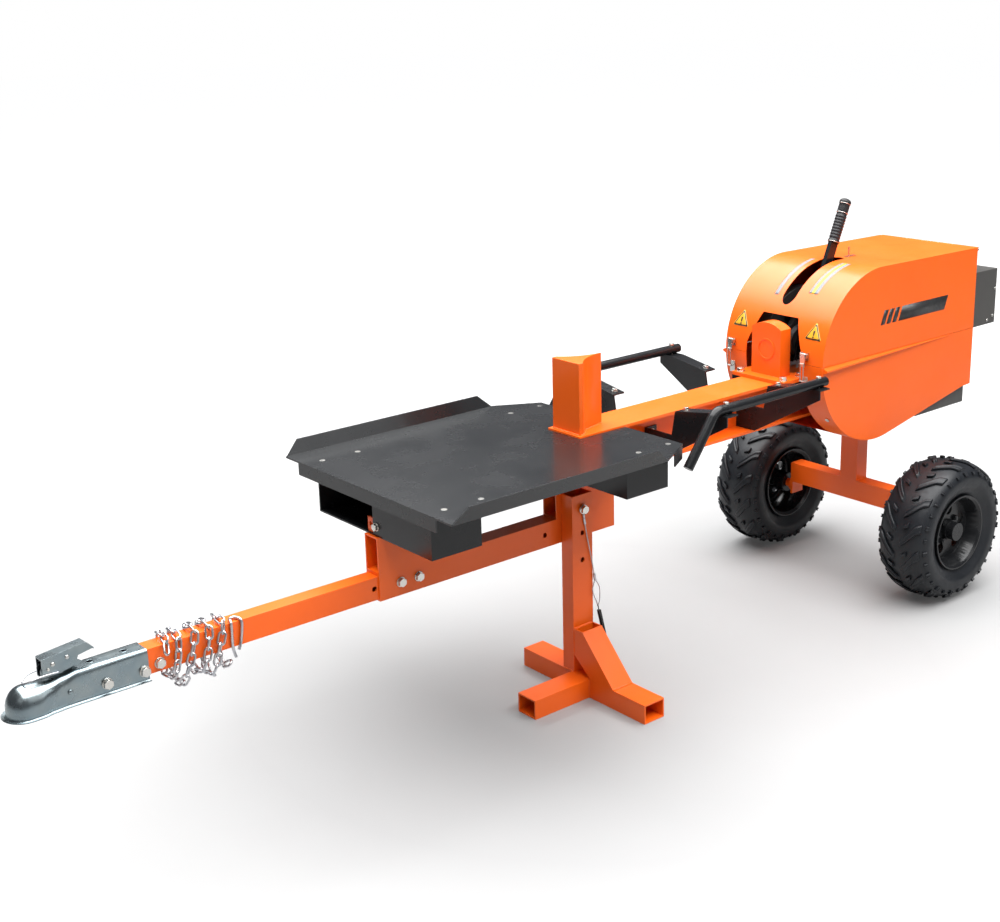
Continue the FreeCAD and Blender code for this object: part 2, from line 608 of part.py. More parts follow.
def hub_cap(side):
    """Pressed cap over the spindle's end."""
    start = SPINDLE_END - 8
    cup = rod((WHEEL_X, side * (start + 10), TYRE_R), Y_AXIS, 26, 20)
    return cup.cut(rod((WHEEL_X, side * (start + 8), TYRE_R), Y_AXIS, 22, 18))


# ---- lower housing and hood ---------------------------------------------------------
BELLY_ANGLE = 281.0       # where the round belly runs into its straight tail
TAIL_X = 1419.0
TAIL_Z = 540.0
HINGE_X, HINGE_Z = 1464.0, 944.0
HINGE_SPLIT = 98.0        # the hood's knuckles lie outside this, the rear panel's inside
SLOT_HALF_W = 22.0
SLOT_X = (812.0, 1046.0)
LATCH_Y = {"near": -113.0, "far": 148.0}
RACK_GATE = (34.0, 652.0, 702.0)          # half width, bottom and top of the rack's opening


def round_point(angle, radius):
    turn = math.radians(angle)
    return (HOUSING_X + radius * math.cos(turn), 0, HOUSING_Z + radius * math.sin(turn))


def hood_outline(inset):
    """Side view of the hood, drawn at y = 0 and shrunk by inset."""
    radius = HOUSING_R - inset
    seam = SEAM_Z - (inset * 2)
    start_angle = 180 - math.degrees(math.asin((SEAM_Z + 0.5 - HOUSING_Z) / radius))
    front = round_point(start_angle, radius)
    top = round_point(90, radius)
    tail_top = (HOUSING_REAR + inset * 3, 0, HOUSING_Z + radius - 5)
    tail_low = (HOUSING_REAR + inset * 3, 0, seam + 0.5)
    toe = (front[0], 0, seam + 0.5)
    edges = [arc(front, round_point(135, radius), top), line(top, tail_top), line(tail_top, tail_low),
             line(tail_low, toe)]
    if inset > 0:
        edges.append(line(toe, front))
    return edges_to_face(edges)


def guard_outline(inset):
    """Side view of the lower housing, drawn at y = 0 and shrunk by inset."""
    radius = HOUSING_R - inset
    seam = SEAM_Z - 0.5 + inset * 3
    front = round_point(180, radius)
    last = round_point(BELLY_ANGLE, radius)
    tail = (TAIL_X, 0, TAIL_Z + inset)
    corner = (HOUSING_REAR - inset, 0, HOUSING_TAIL_Z + inset)
    rear_top = (HOUSING_REAR - inset, 0, seam)
    front_top = (front[0], 0, seam)
    edges = [line(front_top, front), arc(front, round_point(230, radius), last), line(last, tail),
             line(tail, corner), line(corner, rear_top), line(rear_top, front_top)]
    return edges_to_face(edges)


def across(face, half_width):
    face.translate(V(0, -half_width, 0))
    return face.extrude(V(0, 2 * half_width, 0))


def ram_tunnel(z_low):
    """Opening for the ram in the front of the housing, narrower towards its top."""
    shoulder = 742.0
    outline = [(0, -OPENING_HALF_W, z_low), (0, OPENING_HALF_W, z_low), (0, OPENING_HALF_W, shoulder),
               (0, OPENING_TOP_HALF_W, OPENING_TOP_Z), (0, -OPENING_TOP_HALF_W, OPENING_TOP_Z),
               (0, -OPENING_HALF_W, shoulder)]
    tunnel = prism(outline, V(180, 0, 0))
    tunnel.translate(V(HOUSING_X - HOUSING_R - 10, 0, 0))
    return tunnel


def lever_slot():
    """Long slot over the top with round ends, for the control lever."""
    front, rear = SLOT_X[0] + SLOT_HALF_W, SLOT_X[1] - SLOT_HALF_W
    slot = box(front, rear, -SLOT_HALF_W, SLOT_HALF_W, 850, 980)
    for x in (front, rear):
        slot = slot.fuse(rod((x, 0, 915), Z_AXIS, SLOT_HALF_W, 130))
    return slot


def hood():
    shell = across(hood_outline(0), HOUSING_HALF_W)
    shell = shell.cut(across(hood_outline(HOUSING_T), HOUSING_HALF_W - HOUSING_T))
    shell = shell.cut(ram_tunnel(SEAM_Z - 20)).cut(lever_slot())
    for side in (-1, 1):
        middle = side * (HINGE_SPLIT + 168) / 2
        knuckle = rod((HINGE_X, middle, HINGE_Z), Y_AXIS, 6, 168 - HINGE_SPLIT)
        leaf = box(HOUSING_REAR - 6, HINGE_X, middle - 35, middle + 35, HINGE_Z + 3, HINGE_Z + 6)
        shell = shell.fuse(knuckle).fuse(leaf)
    shell = shell.cut(rod((HINGE_X, 0, HINGE_Z), Y_AXIS, 3 + RUN, 400))
    return shell.removeSplitter()


def hood_pull():
    """Thin upright rod with a foot, for lifting the hood."""
    x, y = 1072.0, -8.0
    z = HOUSING_Z + HOUSING_R - 0.5
    foot = box(x - 14, x + 26, y - 5, y + 5, z, z + 2)
    return foot.fuse(Part.makeCylinder(2.5, 28, V(x, y, z))).removeSplitter()


def lower_housing():
    shell = across(guard_outline(0), HOUSING_HALF_W)
    shell = shell.cut(across(guard_outline(HOUSING_T), HOUSING_HALF_W - HOUSING_T))
    shell = shell.cut(ram_tunnel(478.0))
    shell = shell.cut(box(AXLE_X[0] - 3, AXLE_X[1] + 3, -33, 33, 440, 520))
    half = BATTERY_HALF_W + 8
    shell = shell.cut(box(BATTERY_X[0] - 3, BATTERY_X[1] + 3, -half, half, 480, 545))
    half, low, high = RACK_GATE
    shell = shell.cut(box(HOUSING_REAR - 10, HOUSING_REAR + 5, -half, half, low, SEAM_Z + 10))
    for side in (-1, 1):
        shell = shell.fuse(side_rib(side))
    return shell.removeSplitter()


def side_rib(side):
    """Pressed ledge under the seam that fades out towards the rear."""
    x0, x1 = HOUSING_X - HOUSING_R + 3, 1345.0
    y0, z1 = side * (HOUSING_HALF_W - 0.5), SEAM_Z - 1.0
    deep, shallow = side * 14.0, side * 1.0
    front = Part.makePolygon([V(x0, y0, z1), V(x0, y0 + deep, z1 - 6), V(x0, y0 + deep, z1 - 11),
                              V(x0, y0, z1 - 17), V(x0, y0, z1)])
    rear = Part.makePolygon([V(x1, y0, z1), V(x1, y0 + shallow, z1 - 1), V(x1, y0 + shallow, z1 - 2),
                             V(x1, y0, z1 - 3), V(x1, y0, z1)])
    return Part.makeLoft([front, rear], True, True)


def rear_panel():
    """Upright panel behind the works that carries the hood's hinge and the power box."""
    x0 = HOUSING_REAR - HOUSING_T * 2
    half, low, high = RACK_GATE
    panel = box(x0, x0 + HOUSING_T, -169, 169, 600, HINGE_Z - 4)
    panel = panel.cut(box(x0 - 1, x0 + 5, -half, half, low, high))
    leaf = box(x0, HINGE_X - 4, -HINGE_SPLIT + 1, HINGE_SPLIT - 1, HINGE_Z - 6, HINGE_Z - 3)
    knuckle = rod((HINGE_X, 0, HINGE_Z), Y_AXIS, 6, 2 * HINGE_SPLIT - 2)
    panel = panel.fuse(leaf).fuse(knuckle)
    return panel.cut(rod((HINGE_X, 0, HINGE_Z), Y_AXIS, 3 + GAP, 400)).removeSplitter()


def hinge_pin():
    return rod((HINGE_X, 0, HINGE_Z), Y_AXIS, 3, 342)


def housing_screws():
    """Button screws through the front of the lower housing."""
    screws = []
    for side in (-1, 1):
        for angle, y in ((205, 118), (220, 150)):
            at = V(*round_point(angle, HOUSING_R))
            at.y = side * y
            out = V(math.cos(math.radians(angle)), 0, math.sin(math.radians(angle)))
            head = Part.makeCylinder(6, 3.5, at, out)
            screws.append(head)
    return screws


def rack_cover():
    """Sheet channel behind the housing that the rack's tail runs in."""
    half, low, high = RACK_GATE
    outer = box(HOUSING_REAR, 1583, -half - 8, half + 8, low - 6, high)
    return outer.cut(box(HOUSING_REAR - 1, 1581, -half, half, low - 4, high - 2))


# ---- draw latches -------------------------------------------------------------------
LATCH_PIVOT_Z = 742.0
LATCH_PIVOT_X = HOUSING_X - HOUSING_R - 5.5
KEEPER_Z = 668.0


def latch_base(y):
    """Plate and two ears riveted to the hood's front."""
    x_face = HOUSING_X - math.sqrt(HOUSING_R ** 2 - (LATCH_PIVOT_Z - 8 - HOUSING_Z) ** 2)
    ears = []
    low, high = LATCH_PIVOT_Z - 10, LATCH_PIVOT_Z + 2
    for offset in (-11.0, 9.0):
        ears.append(box(LATCH_PIVOT_X - 4, x_face + 0.6, y + offset, y + offset + 2, low, high + 2))
    web = box(x_face - 2.5, x_face - 0.2, y - 11, y + 11, low - 8, high)
    base = ears[0].fuse(ears[1]).fuse(web)
    solid = across(hood_outline(0), HOUSING_HALF_W)
    base = base.cut(solid)
    return base.cut(rod((LATCH_PIVOT_X, y, LATCH_PIVOT_Z), Y_AXIS, 2 + RUN, 60)).removeSplitter()


def latch_lever(y):
    """Over-centre lever with its wire bail, as one swinging piece."""
    x, z = LATCH_PIVOT_X, LATCH_PIVOT_Z
    pin = rod((x, y, z), Y_AXIS, 2, 26)
    lever = pin.fuse(box(x - 6.5, x - 4.5, y - 8, y + 8, z - 34, z + 1))
    wire = 1.6
    for side in (-1, 1):
        y0, y1 = sorted((y + side * 6, y + side * 8))
        lever = lever.fuse(box(x - 6.5, x + 1, y0, y1, z - 12, z + 1))
        lever = lever.fuse(Part.makeCylinder(wire, 50, V(x - 7.5, y + side * 5, z - 74)))
    for drop in (74, 26):
        lever = lever.fuse(rod((x - 7.5, y, z - drop), Y_AXIS, wire + 0.4, 14))
    return lever.removeSplitter()


def latch_keeper(y):
    """Hook on the lower housing that the bail pulls against, with its lip turned down."""
    x_face = HOUSING_X - math.sqrt(HOUSING_R ** 2 - (KEEPER_Z - HOUSING_Z) ** 2)
    plate = box(x_face - 2.5, x_face + 0.5, y - 9, y + 9, KEEPER_Z - 22, KEEPER_Z + 10)
    hook = box(LATCH_PIVOT_X - 5.4, x_face, y - 3, y + 3, KEEPER_Z - 4, KEEPER_Z - 1)
    keeper = plate.fuse(hook)
    return keeper.cut(across(guard_outline(0), HOUSING_HALF_W)).removeSplitter()


# ---- ram, rack and flywheels --------------------------------------------------------
RACK_HALF_W = 16.0
MODULE = 5.0
RACK_ROOT_Z, RACK_TIP_Z = 671.0, 682.3
RAM_PLATE_X = (703.0, 803.0)
RAM_PLATE_HALF_W = 92.0
RAM_PLATE_T = 10.0
RAM_BOLTS = [(x, y) for x in (720.0, 789.0) for y in (-76.0, 76.0)]


def ram_head():
    """Push block with an arched top and a plain raised ring on its face, on a wide foot plate."""
    z0 = BEAM_TOP + RUN
    foot = box(RAM_PLATE_X[0], RAM_PLATE_X[1], -RAM_PLATE_HALF_W, RAM_PLATE_HALF_W, z0, z0 + RAM_PLATE_T)
    near_low, far_low = (RAM_FRONT, -51, z0 + 8), (RAM_FRONT, 51, z0 + 8)
    near_high, far_high, crown = (RAM_FRONT, -51, 800), (RAM_FRONT, 51, 800), (RAM_FRONT, 0, 816)
    edges = [line(near_low, far_low), line(far_low, far_high), arc(far_high, crown, near_high),
             line(near_high, near_low)]
    block = edges_to_face(edges).extrude(V(RAM_T, 0, 0))
    boss = ring((RAM_FRONT - 0.5, 0, 742), X_AXIS, 30, 25, 3)
    back = box(RAM_FRONT + RAM_T, RAM_PLATE_X[1], -RACK_HALF_W - 8, RACK_HALF_W + 8, z0 + 8, 700)
    head = foot.fuse(block).fuse(boss).fuse(back)
    return drill(head.removeSplitter(), [(x, y, z0) for x, y in RAM_BOLTS], Z_AXIS, 6 + GAP, 60)


def ram_keepers():
    """L-shaped guides that hook the ram under the beam's top flange."""
    keepers = []
    for side in (-1, 1):
        outer, flange = RAM_PLATE_HALF_W, BEAM_HALF_W + RUN
        low, under, top = BEAM_TOP - BEAM_T - 11, BEAM_TOP - BEAM_T - RUN, BEAM_TOP + RUN
        outline = [(RAM_PLATE_X[0], side * y, z) for y, z in
                   ((44, low), (outer, low), (outer, top), (flange, top), (flange, under), (44, under))]
        keeper = prism(outline, V(RAM_PLATE_X[1] - RAM_PLATE_X[0], 0, 0))
        keepers.append(drill(keeper, [(x, side * 76, top) for x, _ in RAM_BOLTS], Z_AXIS, 6 + GAP, 60))
    return keepers


def ram_bolts():
    under = RAM_PLATE_T + BEAM_T + 11 + 2 * RUN
    return [bolt((x, y, BEAM_TOP + RUN + RAM_PLATE_T), -Z_AXIS, under, 12) for x, y in RAM_BOLTS]


def rack():
    """Toothed bar behind the ram, with teeth along its top."""
    start, z0 = RAM_PLATE_X[1], BEAM_TOP + RUN
    pitch = math.pi * MODULE
    points = [(start, 0, z0), (RACK_REAR, 0, z0), (RACK_REAR, 0, RACK_ROOT_Z)]
    count = int((RACK_REAR - start - 40) / pitch)
    for step in range(count):
        x = RACK_REAR - 8 - step * pitch
        points += [(x, 0, RACK_ROOT_Z), (x - 3.2, 0, RACK_TIP_Z)]
        points += [(x - 6.6, 0, RACK_TIP_Z), (x - 9.8, 0, RACK_ROOT_Z)]
    last = RACK_REAR - 8 - count * pitch
    points += [(last, 0, RACK_ROOT_Z), (last - 3.2, 0, RACK_TIP_Z), (start, 0, RACK_TIP_Z)]
    bar = prism(points, V(0, 2 * RACK_HALF_W, 0))
    bar.translate(V(0, -RACK_HALF_W, 0))
    return bar


def flywheel_shaft():
    """Shaft with its pinion cut in the middle."""
    teeth, radius, tip = 10, MODULE * 5, MODULE * 6
    shaft = rod((SHAFT_X, 0, SHAFT_Z), Y_AXIS, 15, 296)
    core = rod((SHAFT_X, 0, SHAFT_Z), Y_AXIS, radius - MODULE * 1.1, 28)
    for step in range(teeth):
        turn = 2 * math.pi * step / teeth
        tooth = [(-5.4, 17), (5.4, 17), (3.4, radius), (1.7, tip), (-1.7, tip), (-3.4, radius)]
        points = [(SHAFT_X + a * math.cos(turn) + r * math.sin(turn), -14,
                   SHAFT_Z - a * math.sin(turn) + r * math.cos(turn)) for a, r in tooth]
        core = core.fuse(prism(points, V(0, 28, 0)))
    return shaft.fuse(core).removeSplitter()


def flywheel(side):
    """Heavy rim, thin web with holes, and a hub keyed on the shaft."""
    y0, y1 = 68.0, 104.0
    section = [(y0, FLYWHEEL_R), (y1, FLYWHEEL_R), (y1, 124), (93, 118), (93, 48), (y1, 42), (y1, 15.1),
               (y0, 15.1), (y0, 42), (79, 48), (79, 118), (y0, 124)]
    points = [V(SHAFT_X, side * y, SHAFT_Z + r) for y, r in section]
    face = Part.Face(Part.makePolygon(points + [points[0]]))
    wheel = face.revolve(V(SHAFT_X, 0, SHAFT_Z), Y_AXIS, 360)
    for step in range(6):
        turn = math.radians(60 * step)
        at = (SHAFT_X + 83 * math.cos(turn), side * 86, SHAFT_Z + 83 * math.sin(turn))
        wheel = wheel.cut(rod(at, Y_AXIS, 21, 60))
    return wheel


def bearing_block(side):
    """Pillow block on the beam: a foot with a round body bored for the shaft."""
    y_mid = side * 45
    foot = box(SHAFT_X - 46, SHAFT_X + 46, y_mid - 11, y_mid + 11, BEAM_TOP, BEAM_TOP + 12)
    neck = box(SHAFT_X - 22, SHAFT_X + 22, y_mid - 9, y_mid + 9, BEAM_TOP + 10, SHAFT_Z)
    body = rod((SHAFT_X, y_mid, SHAFT_Z), Y_AXIS, 32, 22)
    block = foot.fuse(neck).fuse(body)
    return block.cut(rod((SHAFT_X, y_mid, SHAFT_Z), Y_AXIS, 15 + RUN, 40)).removeSplitter()


def bearing_bolts():
    """Short screws in the pillow blocks' feet."""
    screws = []
    for side in (-1, 1):
        for x in (SHAFT_X - 36, SHAFT_X + 36):
            screws.append(hexagon((x, side * 45, BEAM_TOP + 12), Z_AXIS, 13, 7))
    return screws


PULLEY_W = 20.0


def pulley(x, z, radius, bore):
    """V-belt pulley with one groove."""
    half = PULLEY_W / 2
    section = [(-half, bore), (-half, radius), (-half + 3, radius), (-5.5, radius - 13), (5.5, radius - 13),
               (half - 3, radius), (half, radius), (half, bore)]
    points = [V(x, BELT_Y + y, z + r) for y, r in section]
    face = Part.Face(Part.makePolygon(points + [points[0]]))
    return face.revolve(V(x, 0, z), Y_AXIS, 360)


DRIVEN_R, DRIVER_R = 105.0, 35.0


def drive_belt():
    """V-belt loop: straight spans tangent to both pulleys, drawn as two outlines apart."""
    def loop(extra):
        big, small = DRIVEN_R - 12.6 + extra, DRIVER_R - 12.6 + extra
        dx, dz = MOTOR_X - SHAFT_X, MOTOR_Z - SHAFT_Z
        span, lean = math.hypot(dx, dz), math.atan2(dz, dx)
        open_angle = math.acos((big - small) / span)
        def at(cx, cz, radius, angle):
            return (cx + radius * math.cos(angle), BELT_Y - 5, cz + radius * math.sin(angle))
        upper, lower = lean + open_angle, lean - open_angle
        a, b = at(SHAFT_X, SHAFT_Z, big, upper), at(SHAFT_X, SHAFT_Z, big, lower)
        c, d = at(MOTOR_X, MOTOR_Z, small, lower), at(MOTOR_X, MOTOR_Z, small, upper)
        far_side = at(SHAFT_X, SHAFT_Z, big, lean + math.pi)
        near_side = at(MOTOR_X, MOTOR_Z, small, lean)
        return edges_to_face([arc(a, far_side, b), line(b, c), arc(c, near_side, d), line(d, a)])
    outer, inner = loop(8.5).extrude(V(0, 10, 0)), loop(0).extrude(V(0, 10, 0))
    return outer.cut(inner)


# ---- drive: motor, battery and power box --------------------------------------------
BATTERY_X = (1240.0, 1436.0)
BATTERY_HALF_W = 104.0
TRAY_X = (1215.0, 1447.0)
TRAY_HALF_W = 158.0
TRAY_Z = 485.0


def drive_motor():
    """Finned motor body with end bells; its shaft is a separate piece."""
    body = rod((MOTOR_X, -25, MOTOR_Z), Y_AXIS, 80, 190)
    for step in range(24):
        turn = 15 * step
        fin = box(-1.5, 1.5, -112, 58, 78, 88)
        fin.rotate(V(0, 0, 0), Y_AXIS, turn)
        fin.translate(V(MOTOR_X, 0, MOTOR_Z))
        body = body.fuse(fin)
    bell_far = rod((MOTOR_X, 79, MOTOR_Z), Y_AXIS, 62, 18)
    bell_near = rod((MOTOR_X, -128, MOTOR_Z), Y_AXIS, 66, 16)
    motor = body.fuse(bell_far).fuse(bell_near)
    foot = box(MOTOR_X - 70, MOTOR_X + 70, -100, 50, MOTOR_MOUNT_Z + 4, MOTOR_Z - 60)
    motor = motor.fuse(foot)
    return motor.cut(rod((MOTOR_X, 80, MOTOR_Z), Y_AXIS, 9 + RUN, 80)).removeSplitter()


MOTOR_MOUNT_Z = 724.0


def motor_mount():
    """Bent plate across the lower housing that the motor stands on."""
    x0, x1 = MOTOR_X - 85, MOTOR_X + 85
    edge = HOUSING_HALF_W - HOUSING_T
    top = box(x0, x1, -edge + 0.5, 110, MOTOR_MOUNT_Z, MOTOR_MOUNT_Z + 4)
    near_leg = box(x0, x1, -edge, -edge + 4, 640, SEAM_Z - 1)
    near_leg = near_leg.fuse(box(x0, x1, -edge + 0.5, -edge + 4.5, 700, MOTOR_MOUNT_Z))
    far_leg = box(x0, x1, 106, 110, TRAY_Z + 2, MOTOR_MOUNT_Z)
    return top.fuse(near_leg).fuse(far_leg).removeSplitter()


def motor_shaft():
    shaft = rod((MOTOR_X, 92, MOTOR_Z), Y_AXIS, 9, 96)
    return shaft


def battery_tray():
    """Open pan under the housing's tail that the battery sits in."""
    belly = guard_outline(0)
    belly.translate(V(0, -TRAY_HALF_W, 0))
    above = belly.extrude(V(0, 2 * TRAY_HALF_W, 0))
    pan = box(TRAY_X[0], TRAY_X[1], -TRAY_HALF_W, TRAY_HALF_W, TRAY_Z, 560)
    pan = pan.cut(box(TRAY_X[0] + 2, TRAY_X[1] - 2, -TRAY_HALF_W + 2, TRAY_HALF_W - 2, TRAY_Z + 2, 570))
    return pan.cut(above)


def battery():
    """Battery case with a raised handle on its lid."""
    half = BATTERY_HALF_W
    case = box(BATTERY_X[0], BATTERY_X[1], -half, half, TRAY_Z + 2, 612)
    lid = box(BATTERY_X[0] + 6, BATTERY_X[1] - 6, -98, 98, 612, 620)
    grip = box(1300, 1376, -60, -52, 620, 634).fuse(box(1300, 1376, 52, 60, 620, 634))
    return case.fuse(lid).fuse(grip).removeSplitter()


def power_box():
    """Grey sheet box on the rear panel with a flanged inlet underneath."""
    z0, z1 = 707.0, 872.0
    shell = box(HOUSING_REAR - HOUSING_T, 1581, -163, 163, z0, z1)
    shell = shell.cut(box(HOUSING_REAR + 1, 1579, -161, 161, z0 + 2, z1 - 2))
    shell = shell.cut(box(HOUSING_REAR - 3, HOUSING_REAR + 0.5, -170, 170, z0 - 1, SEAM_Z + 0.5))
    return shell


def power_inlet():
    """Flanged inlet with a flap, on the box's far end."""
    flange = rod((1520, 164.5, 760), Y_AXIS, 26, 3)
    body = rod((1520, 170, 760), Y_AXIS, 20, 8)
    return flange.fuse(body).removeSplitter()


def box_screws():
    screws = []
    for side in (-1, 1):
        for x, z in ((1573, 812), (1567, 730), (1540, 720)):
            screws.append(rod((x, side * 164.5, z), Y_AXIS, 4.5, 3))
    return screws


# ---- control lever ------------------------------------------------------------------
def lever_bracket():
    """Two upright cheeks on the beam with a pin between them."""
    x, z = LEVER_PIVOT
    plates = []
    for side in (-1, 1):
        y0 = side * 22 - 3
        outline = [(x - 34, y0, BEAM_TOP), (x + 20, y0, BEAM_TOP)]
        outline += [(x + 16, y0, z + 14), (x - 16, y0, z + 14)]
        plates.append(prism(outline, V(0, 6, 0)))
    brackets = []
    for plate in plates:
        brackets.append(plate.cut(rod((x, 0, z), Y_AXIS, 8 + GAP, 80)))
    return brackets


def lever_pin():
    x, z = LEVER_PIVOT
    shank = rod((x, 0, z), Y_AXIS, 8, 60)
    return shank.fuse(rod((x, -29, z), Y_AXIS, 12, 6)).fuse(rod((x, 29, z), Y_AXIS, 12, 6)).removeSplitter()


GRIP_SPAN = (232.0, 362.0)
GRIP_R = 15.5


def tilt(shape):
    """Lean a piece drawn upright at the lever's pivot back to its rest angle."""
    x, z = LEVER_PIVOT
    shape.rotate(V(x, 0, z), Y_AXIS, LEVER_TILT)
    return shape


def control_lever():
    x, z = LEVER_PIVOT
    bar = box(x - 15, x + 15, -6, 6, z, z + GRIP_SPAN[0])
    spike = Part.makeCylinder(6, GRIP_SPAN[1] - GRIP_SPAN[0] - 12, V(x, 0, z + GRIP_SPAN[0]))
    hub = rod((x, 0, z), Y_AXIS, 20, 36)
    cam = rod((x + 6, 0, z - 8), Y_AXIS, 20, 20)
    lever = bar.fuse(spike).fuse(hub).fuse(cam)
    lever = lever.cut(rod((x, 0, z), Y_AXIS, 8 + RUN, 60))
    return tilt(lever.removeSplitter())


def lever_grip():
    x, z = LEVER_PIVOT
    length = GRIP_SPAN[1] - GRIP_SPAN[0]
    grip = Part.makeCylinder(GRIP_R, length - 8, V(x, 0, z + GRIP_SPAN[0]))
    cap = Part.makeSphere(GRIP_R, V(x, 0, z + GRIP_SPAN[1] - GRIP_R))
    grip = grip.fuse(cap)
    for step in range(6):
        at = V(x, 0, z + GRIP_SPAN[0] + 22 + 14 * step)
        groove = Part.makeCylinder(GRIP_R + 2, 3, at).cut(Part.makeCylinder(GRIP_R - 1.5, 3, at))
        grip = grip.cut(groove)
    grip = grip.cut(Part.makeCylinder(6.05, length - 11, V(x, 0, z + GRIP_SPAN[0] - 1)))
    return tilt(grip.removeSplitter())


# ---- jack stand ---------------------------------------------------------------------
FOOT_Y = (-317.0, 130.0)
TOE_X = -221.0
TOE_Y = (-122.0, -58.0)
STAND_HOLES = (415.0, 344.0)
CABLE_TOP = (-7.0, -69.2, 452.0)
CABLE_END = (24.0, -71.0, 296.0)
CABLE_R = 1.5
SPRING_TOP = (31.0, -73.0, 214.0)
SPRING_END = (29.0, -103.0, 118.0)


def stand_post():
    x0, x1 = STAND_X - STAND_HALF_X, STAND_X + STAND_HALF_X
    post = tube_z(x0, x1, STAND_Y[0], STAND_Y[1], FOOT_H, STAND_TOP, TUBE_WALL)
    post = drill(post, [(STAND_X, STAND_Y[0], z) for z in STAND_HOLES], Y_AXIS, 6.5, 200)
    return drill(post, [(STAND_X, STAND_Y[0], STAND_PIVOT_Z)], Y_AXIS, 6 + RUN, 200)


def stand_base():
    """T of two rectangular tubes: a long foot across and a toe towards the hitch."""
    x0, x1 = STAND_X - STAND_HALF_X, STAND_X + STAND_HALF_X
    foot = tube_y(x0, x1, FOOT_Y[0], FOOT_Y[1], 0, FOOT_H, TUBE_WALL)
    toe_mid = (TOE_Y[0] + TOE_Y[1]) / 2
    toe = tube_x(TOE_X, x0, (TOE_Y[1] - TOE_Y[0]) / 2, 0, FOOT_H, TUBE_WALL, toe_mid)
    return foot.fuse(toe).removeSplitter()


def stand_brace():
    """Slanted tube from the foot up to the post, open at its flat-cut top."""
    x0, x1 = STAND_X - STAND_HALF_X, STAND_X + STAND_HALF_X
    y = STAND_Y[0]
    outer = [(x0, y, 100), (x0, y, 168), (x0, y - 32, 168), (x0, y - 142, FOOT_H), (x0, y - 58, FOOT_H)]
    inner = [(x0 + 4, y - 4, 106), (x0 + 4, y - 4, 170), (x0 + 4, y - 28, 170),
             (x0 + 4, y - 133, FOOT_H + 4), (x0 + 4, y - 60, FOOT_H + 4)]
    brace = prism(outer, V(x1 - x0, 0, 0)).cut(prism(inner, V(x1 - x0 - 8, 0, 0)))
    lug = rod((x1 + 3, SPRING_END[1], SPRING_END[2] - 7), X_AXIS, 3, 10)
    return brace.fuse(lug).removeSplitter()


def stand_bolt():
    return bolt((STAND_X, STAND_Y[0] - 5, STAND_PIVOT_Z), Y_AXIS, RECEIVER_W / 2 - STAND_Y[0] + 5, 12)


def cable_eyelet():
    x, y, z = STAND_X, STAND_Y[0] - 3, STAND_PIVOT_Z
    eye = ring((x, y, z), Y_AXIS, 11, 6 + GAP, 3)
    neck = box(x - 2, x + 4, y - 1.5, y + 1.5, z - 16, z - 8)
    eye = eye.fuse(neck).fuse(rod_between(CABLE_TOP, (x + 1, y, z - 14), 2.8)).removeSplitter()
    return eye.cut(rod_between(CABLE_TOP, CABLE_END, CABLE_R + 0.05))


def rod_between(a, b, radius):
    start, end = V(*a), V(*b)
    return Part.makeCylinder(radius, (end - start).Length, start, end - start)


def stand_cable():
    """Steel cable from the eyelet to its crimped sleeve; straight, because it is held tight."""
    tube = rod_between(CABLE_TOP, CABLE_END, CABLE_R)
    length = (V(*CABLE_END) - V(*CABLE_TOP)).Length
    print("stand_cable straight, length", round(length, 1), "volume ratio",
          round(tube.Volume / (math.pi * CABLE_R ** 2 * length), 4))
    return tube


def cable_sleeve():
    """Crimped sleeve, with the wire loop that hangs from it."""
    direction = (V(*CABLE_END) - V(*CABLE_TOP)).normalize()
    low = V(*CABLE_END) + direction * 14
    sleeve = rod_between(CABLE_END, low, 3.2)
    loop_end = V(SPRING_TOP[0], SPRING_TOP[1], SPRING_TOP[2] + 8)
    left, right = V(low.x - 9, low.y, low.z - 36), V(low.x + 17, low.y, low.z - 30)
    wire = 1.2
    loop = rod_between(low, left, wire).fuse(rod_between(left, loop_end, wire))
    loop = loop.fuse(rod_between(low, right, wire)).fuse(rod_between(right, loop_end, wire))
    for corner in (left, right, loop_end, low):
        loop = loop.fuse(Part.makeSphere(wire, corner))
    return sleeve.fuse(loop).removeSplitter()


def stand_spring():
    """Black tension spring between the cable's loop and the brace."""
    start, end = V(*SPRING_TOP), V(*SPRING_END)
    axis = (end - start).normalize()
    length = (end - start).Length
    coil = Part.makeCylinder(5.5, length - 16, start + axis * 8, axis)
    for step in range(int((length - 18) / 4)):
        at = start + axis * (10 + 4 * step)
        groove = Part.makeCylinder(6, 1.2, at, axis).cut(Part.makeCylinder(4.6, 1.2, at, axis))
        coil = coil.cut(groove)
    hook = rod_between(start + axis * 0.5, start + axis * 9, 1.6)
    tail = rod_between(end - axis * 9, end, 1.6)
    return coil.fuse(hook).fuse(tail).removeSplitter()


# ---- all nodes ----------------------------------------------------------------------
def safety_chain():
    """Two bundles of loose turns round the drawbar, each a ring of closed links."""
    link = chain_link()
    links = []
    for x_mid, lean, drop in CHAIN_LOOPS:
        links += chain_loop(link, x_mid, lean, drop)
    return links


def chain_hook():
    """Wire hook at the chain's free end, hung over the drawbar's top edge."""
    x = -948.0
    low, high, tip = (x, -36, 386), (x + 6, -34, 452), (x - 4, 14, 456)
    path = Part.Wire([line(low, high), arc(high, (x, -8, 468), tip)])
    disc = Part.Wire([Part.makeCircle(3.5, V(*low), V(*high) - V(*low))])
    return path.makePipeShell([disc], True, True)


def table_screws():
    screws = []
    for x, y in TABLE_SCREWS:
        head = Part.makeCone(3.2, 7.2, 4.1, V(x, y, TABLE_Z - 4.2))
        shank = Part.makeCylinder(3.2, 20, V(x, y, TABLE_Z - 24))
        nut = hexagon((x, y, TABLE_Z - 13.1), Z_AXIS, 11, 5)
        screws.append(head.fuse(shank).fuse(nut).removeSplitter())
    return screws


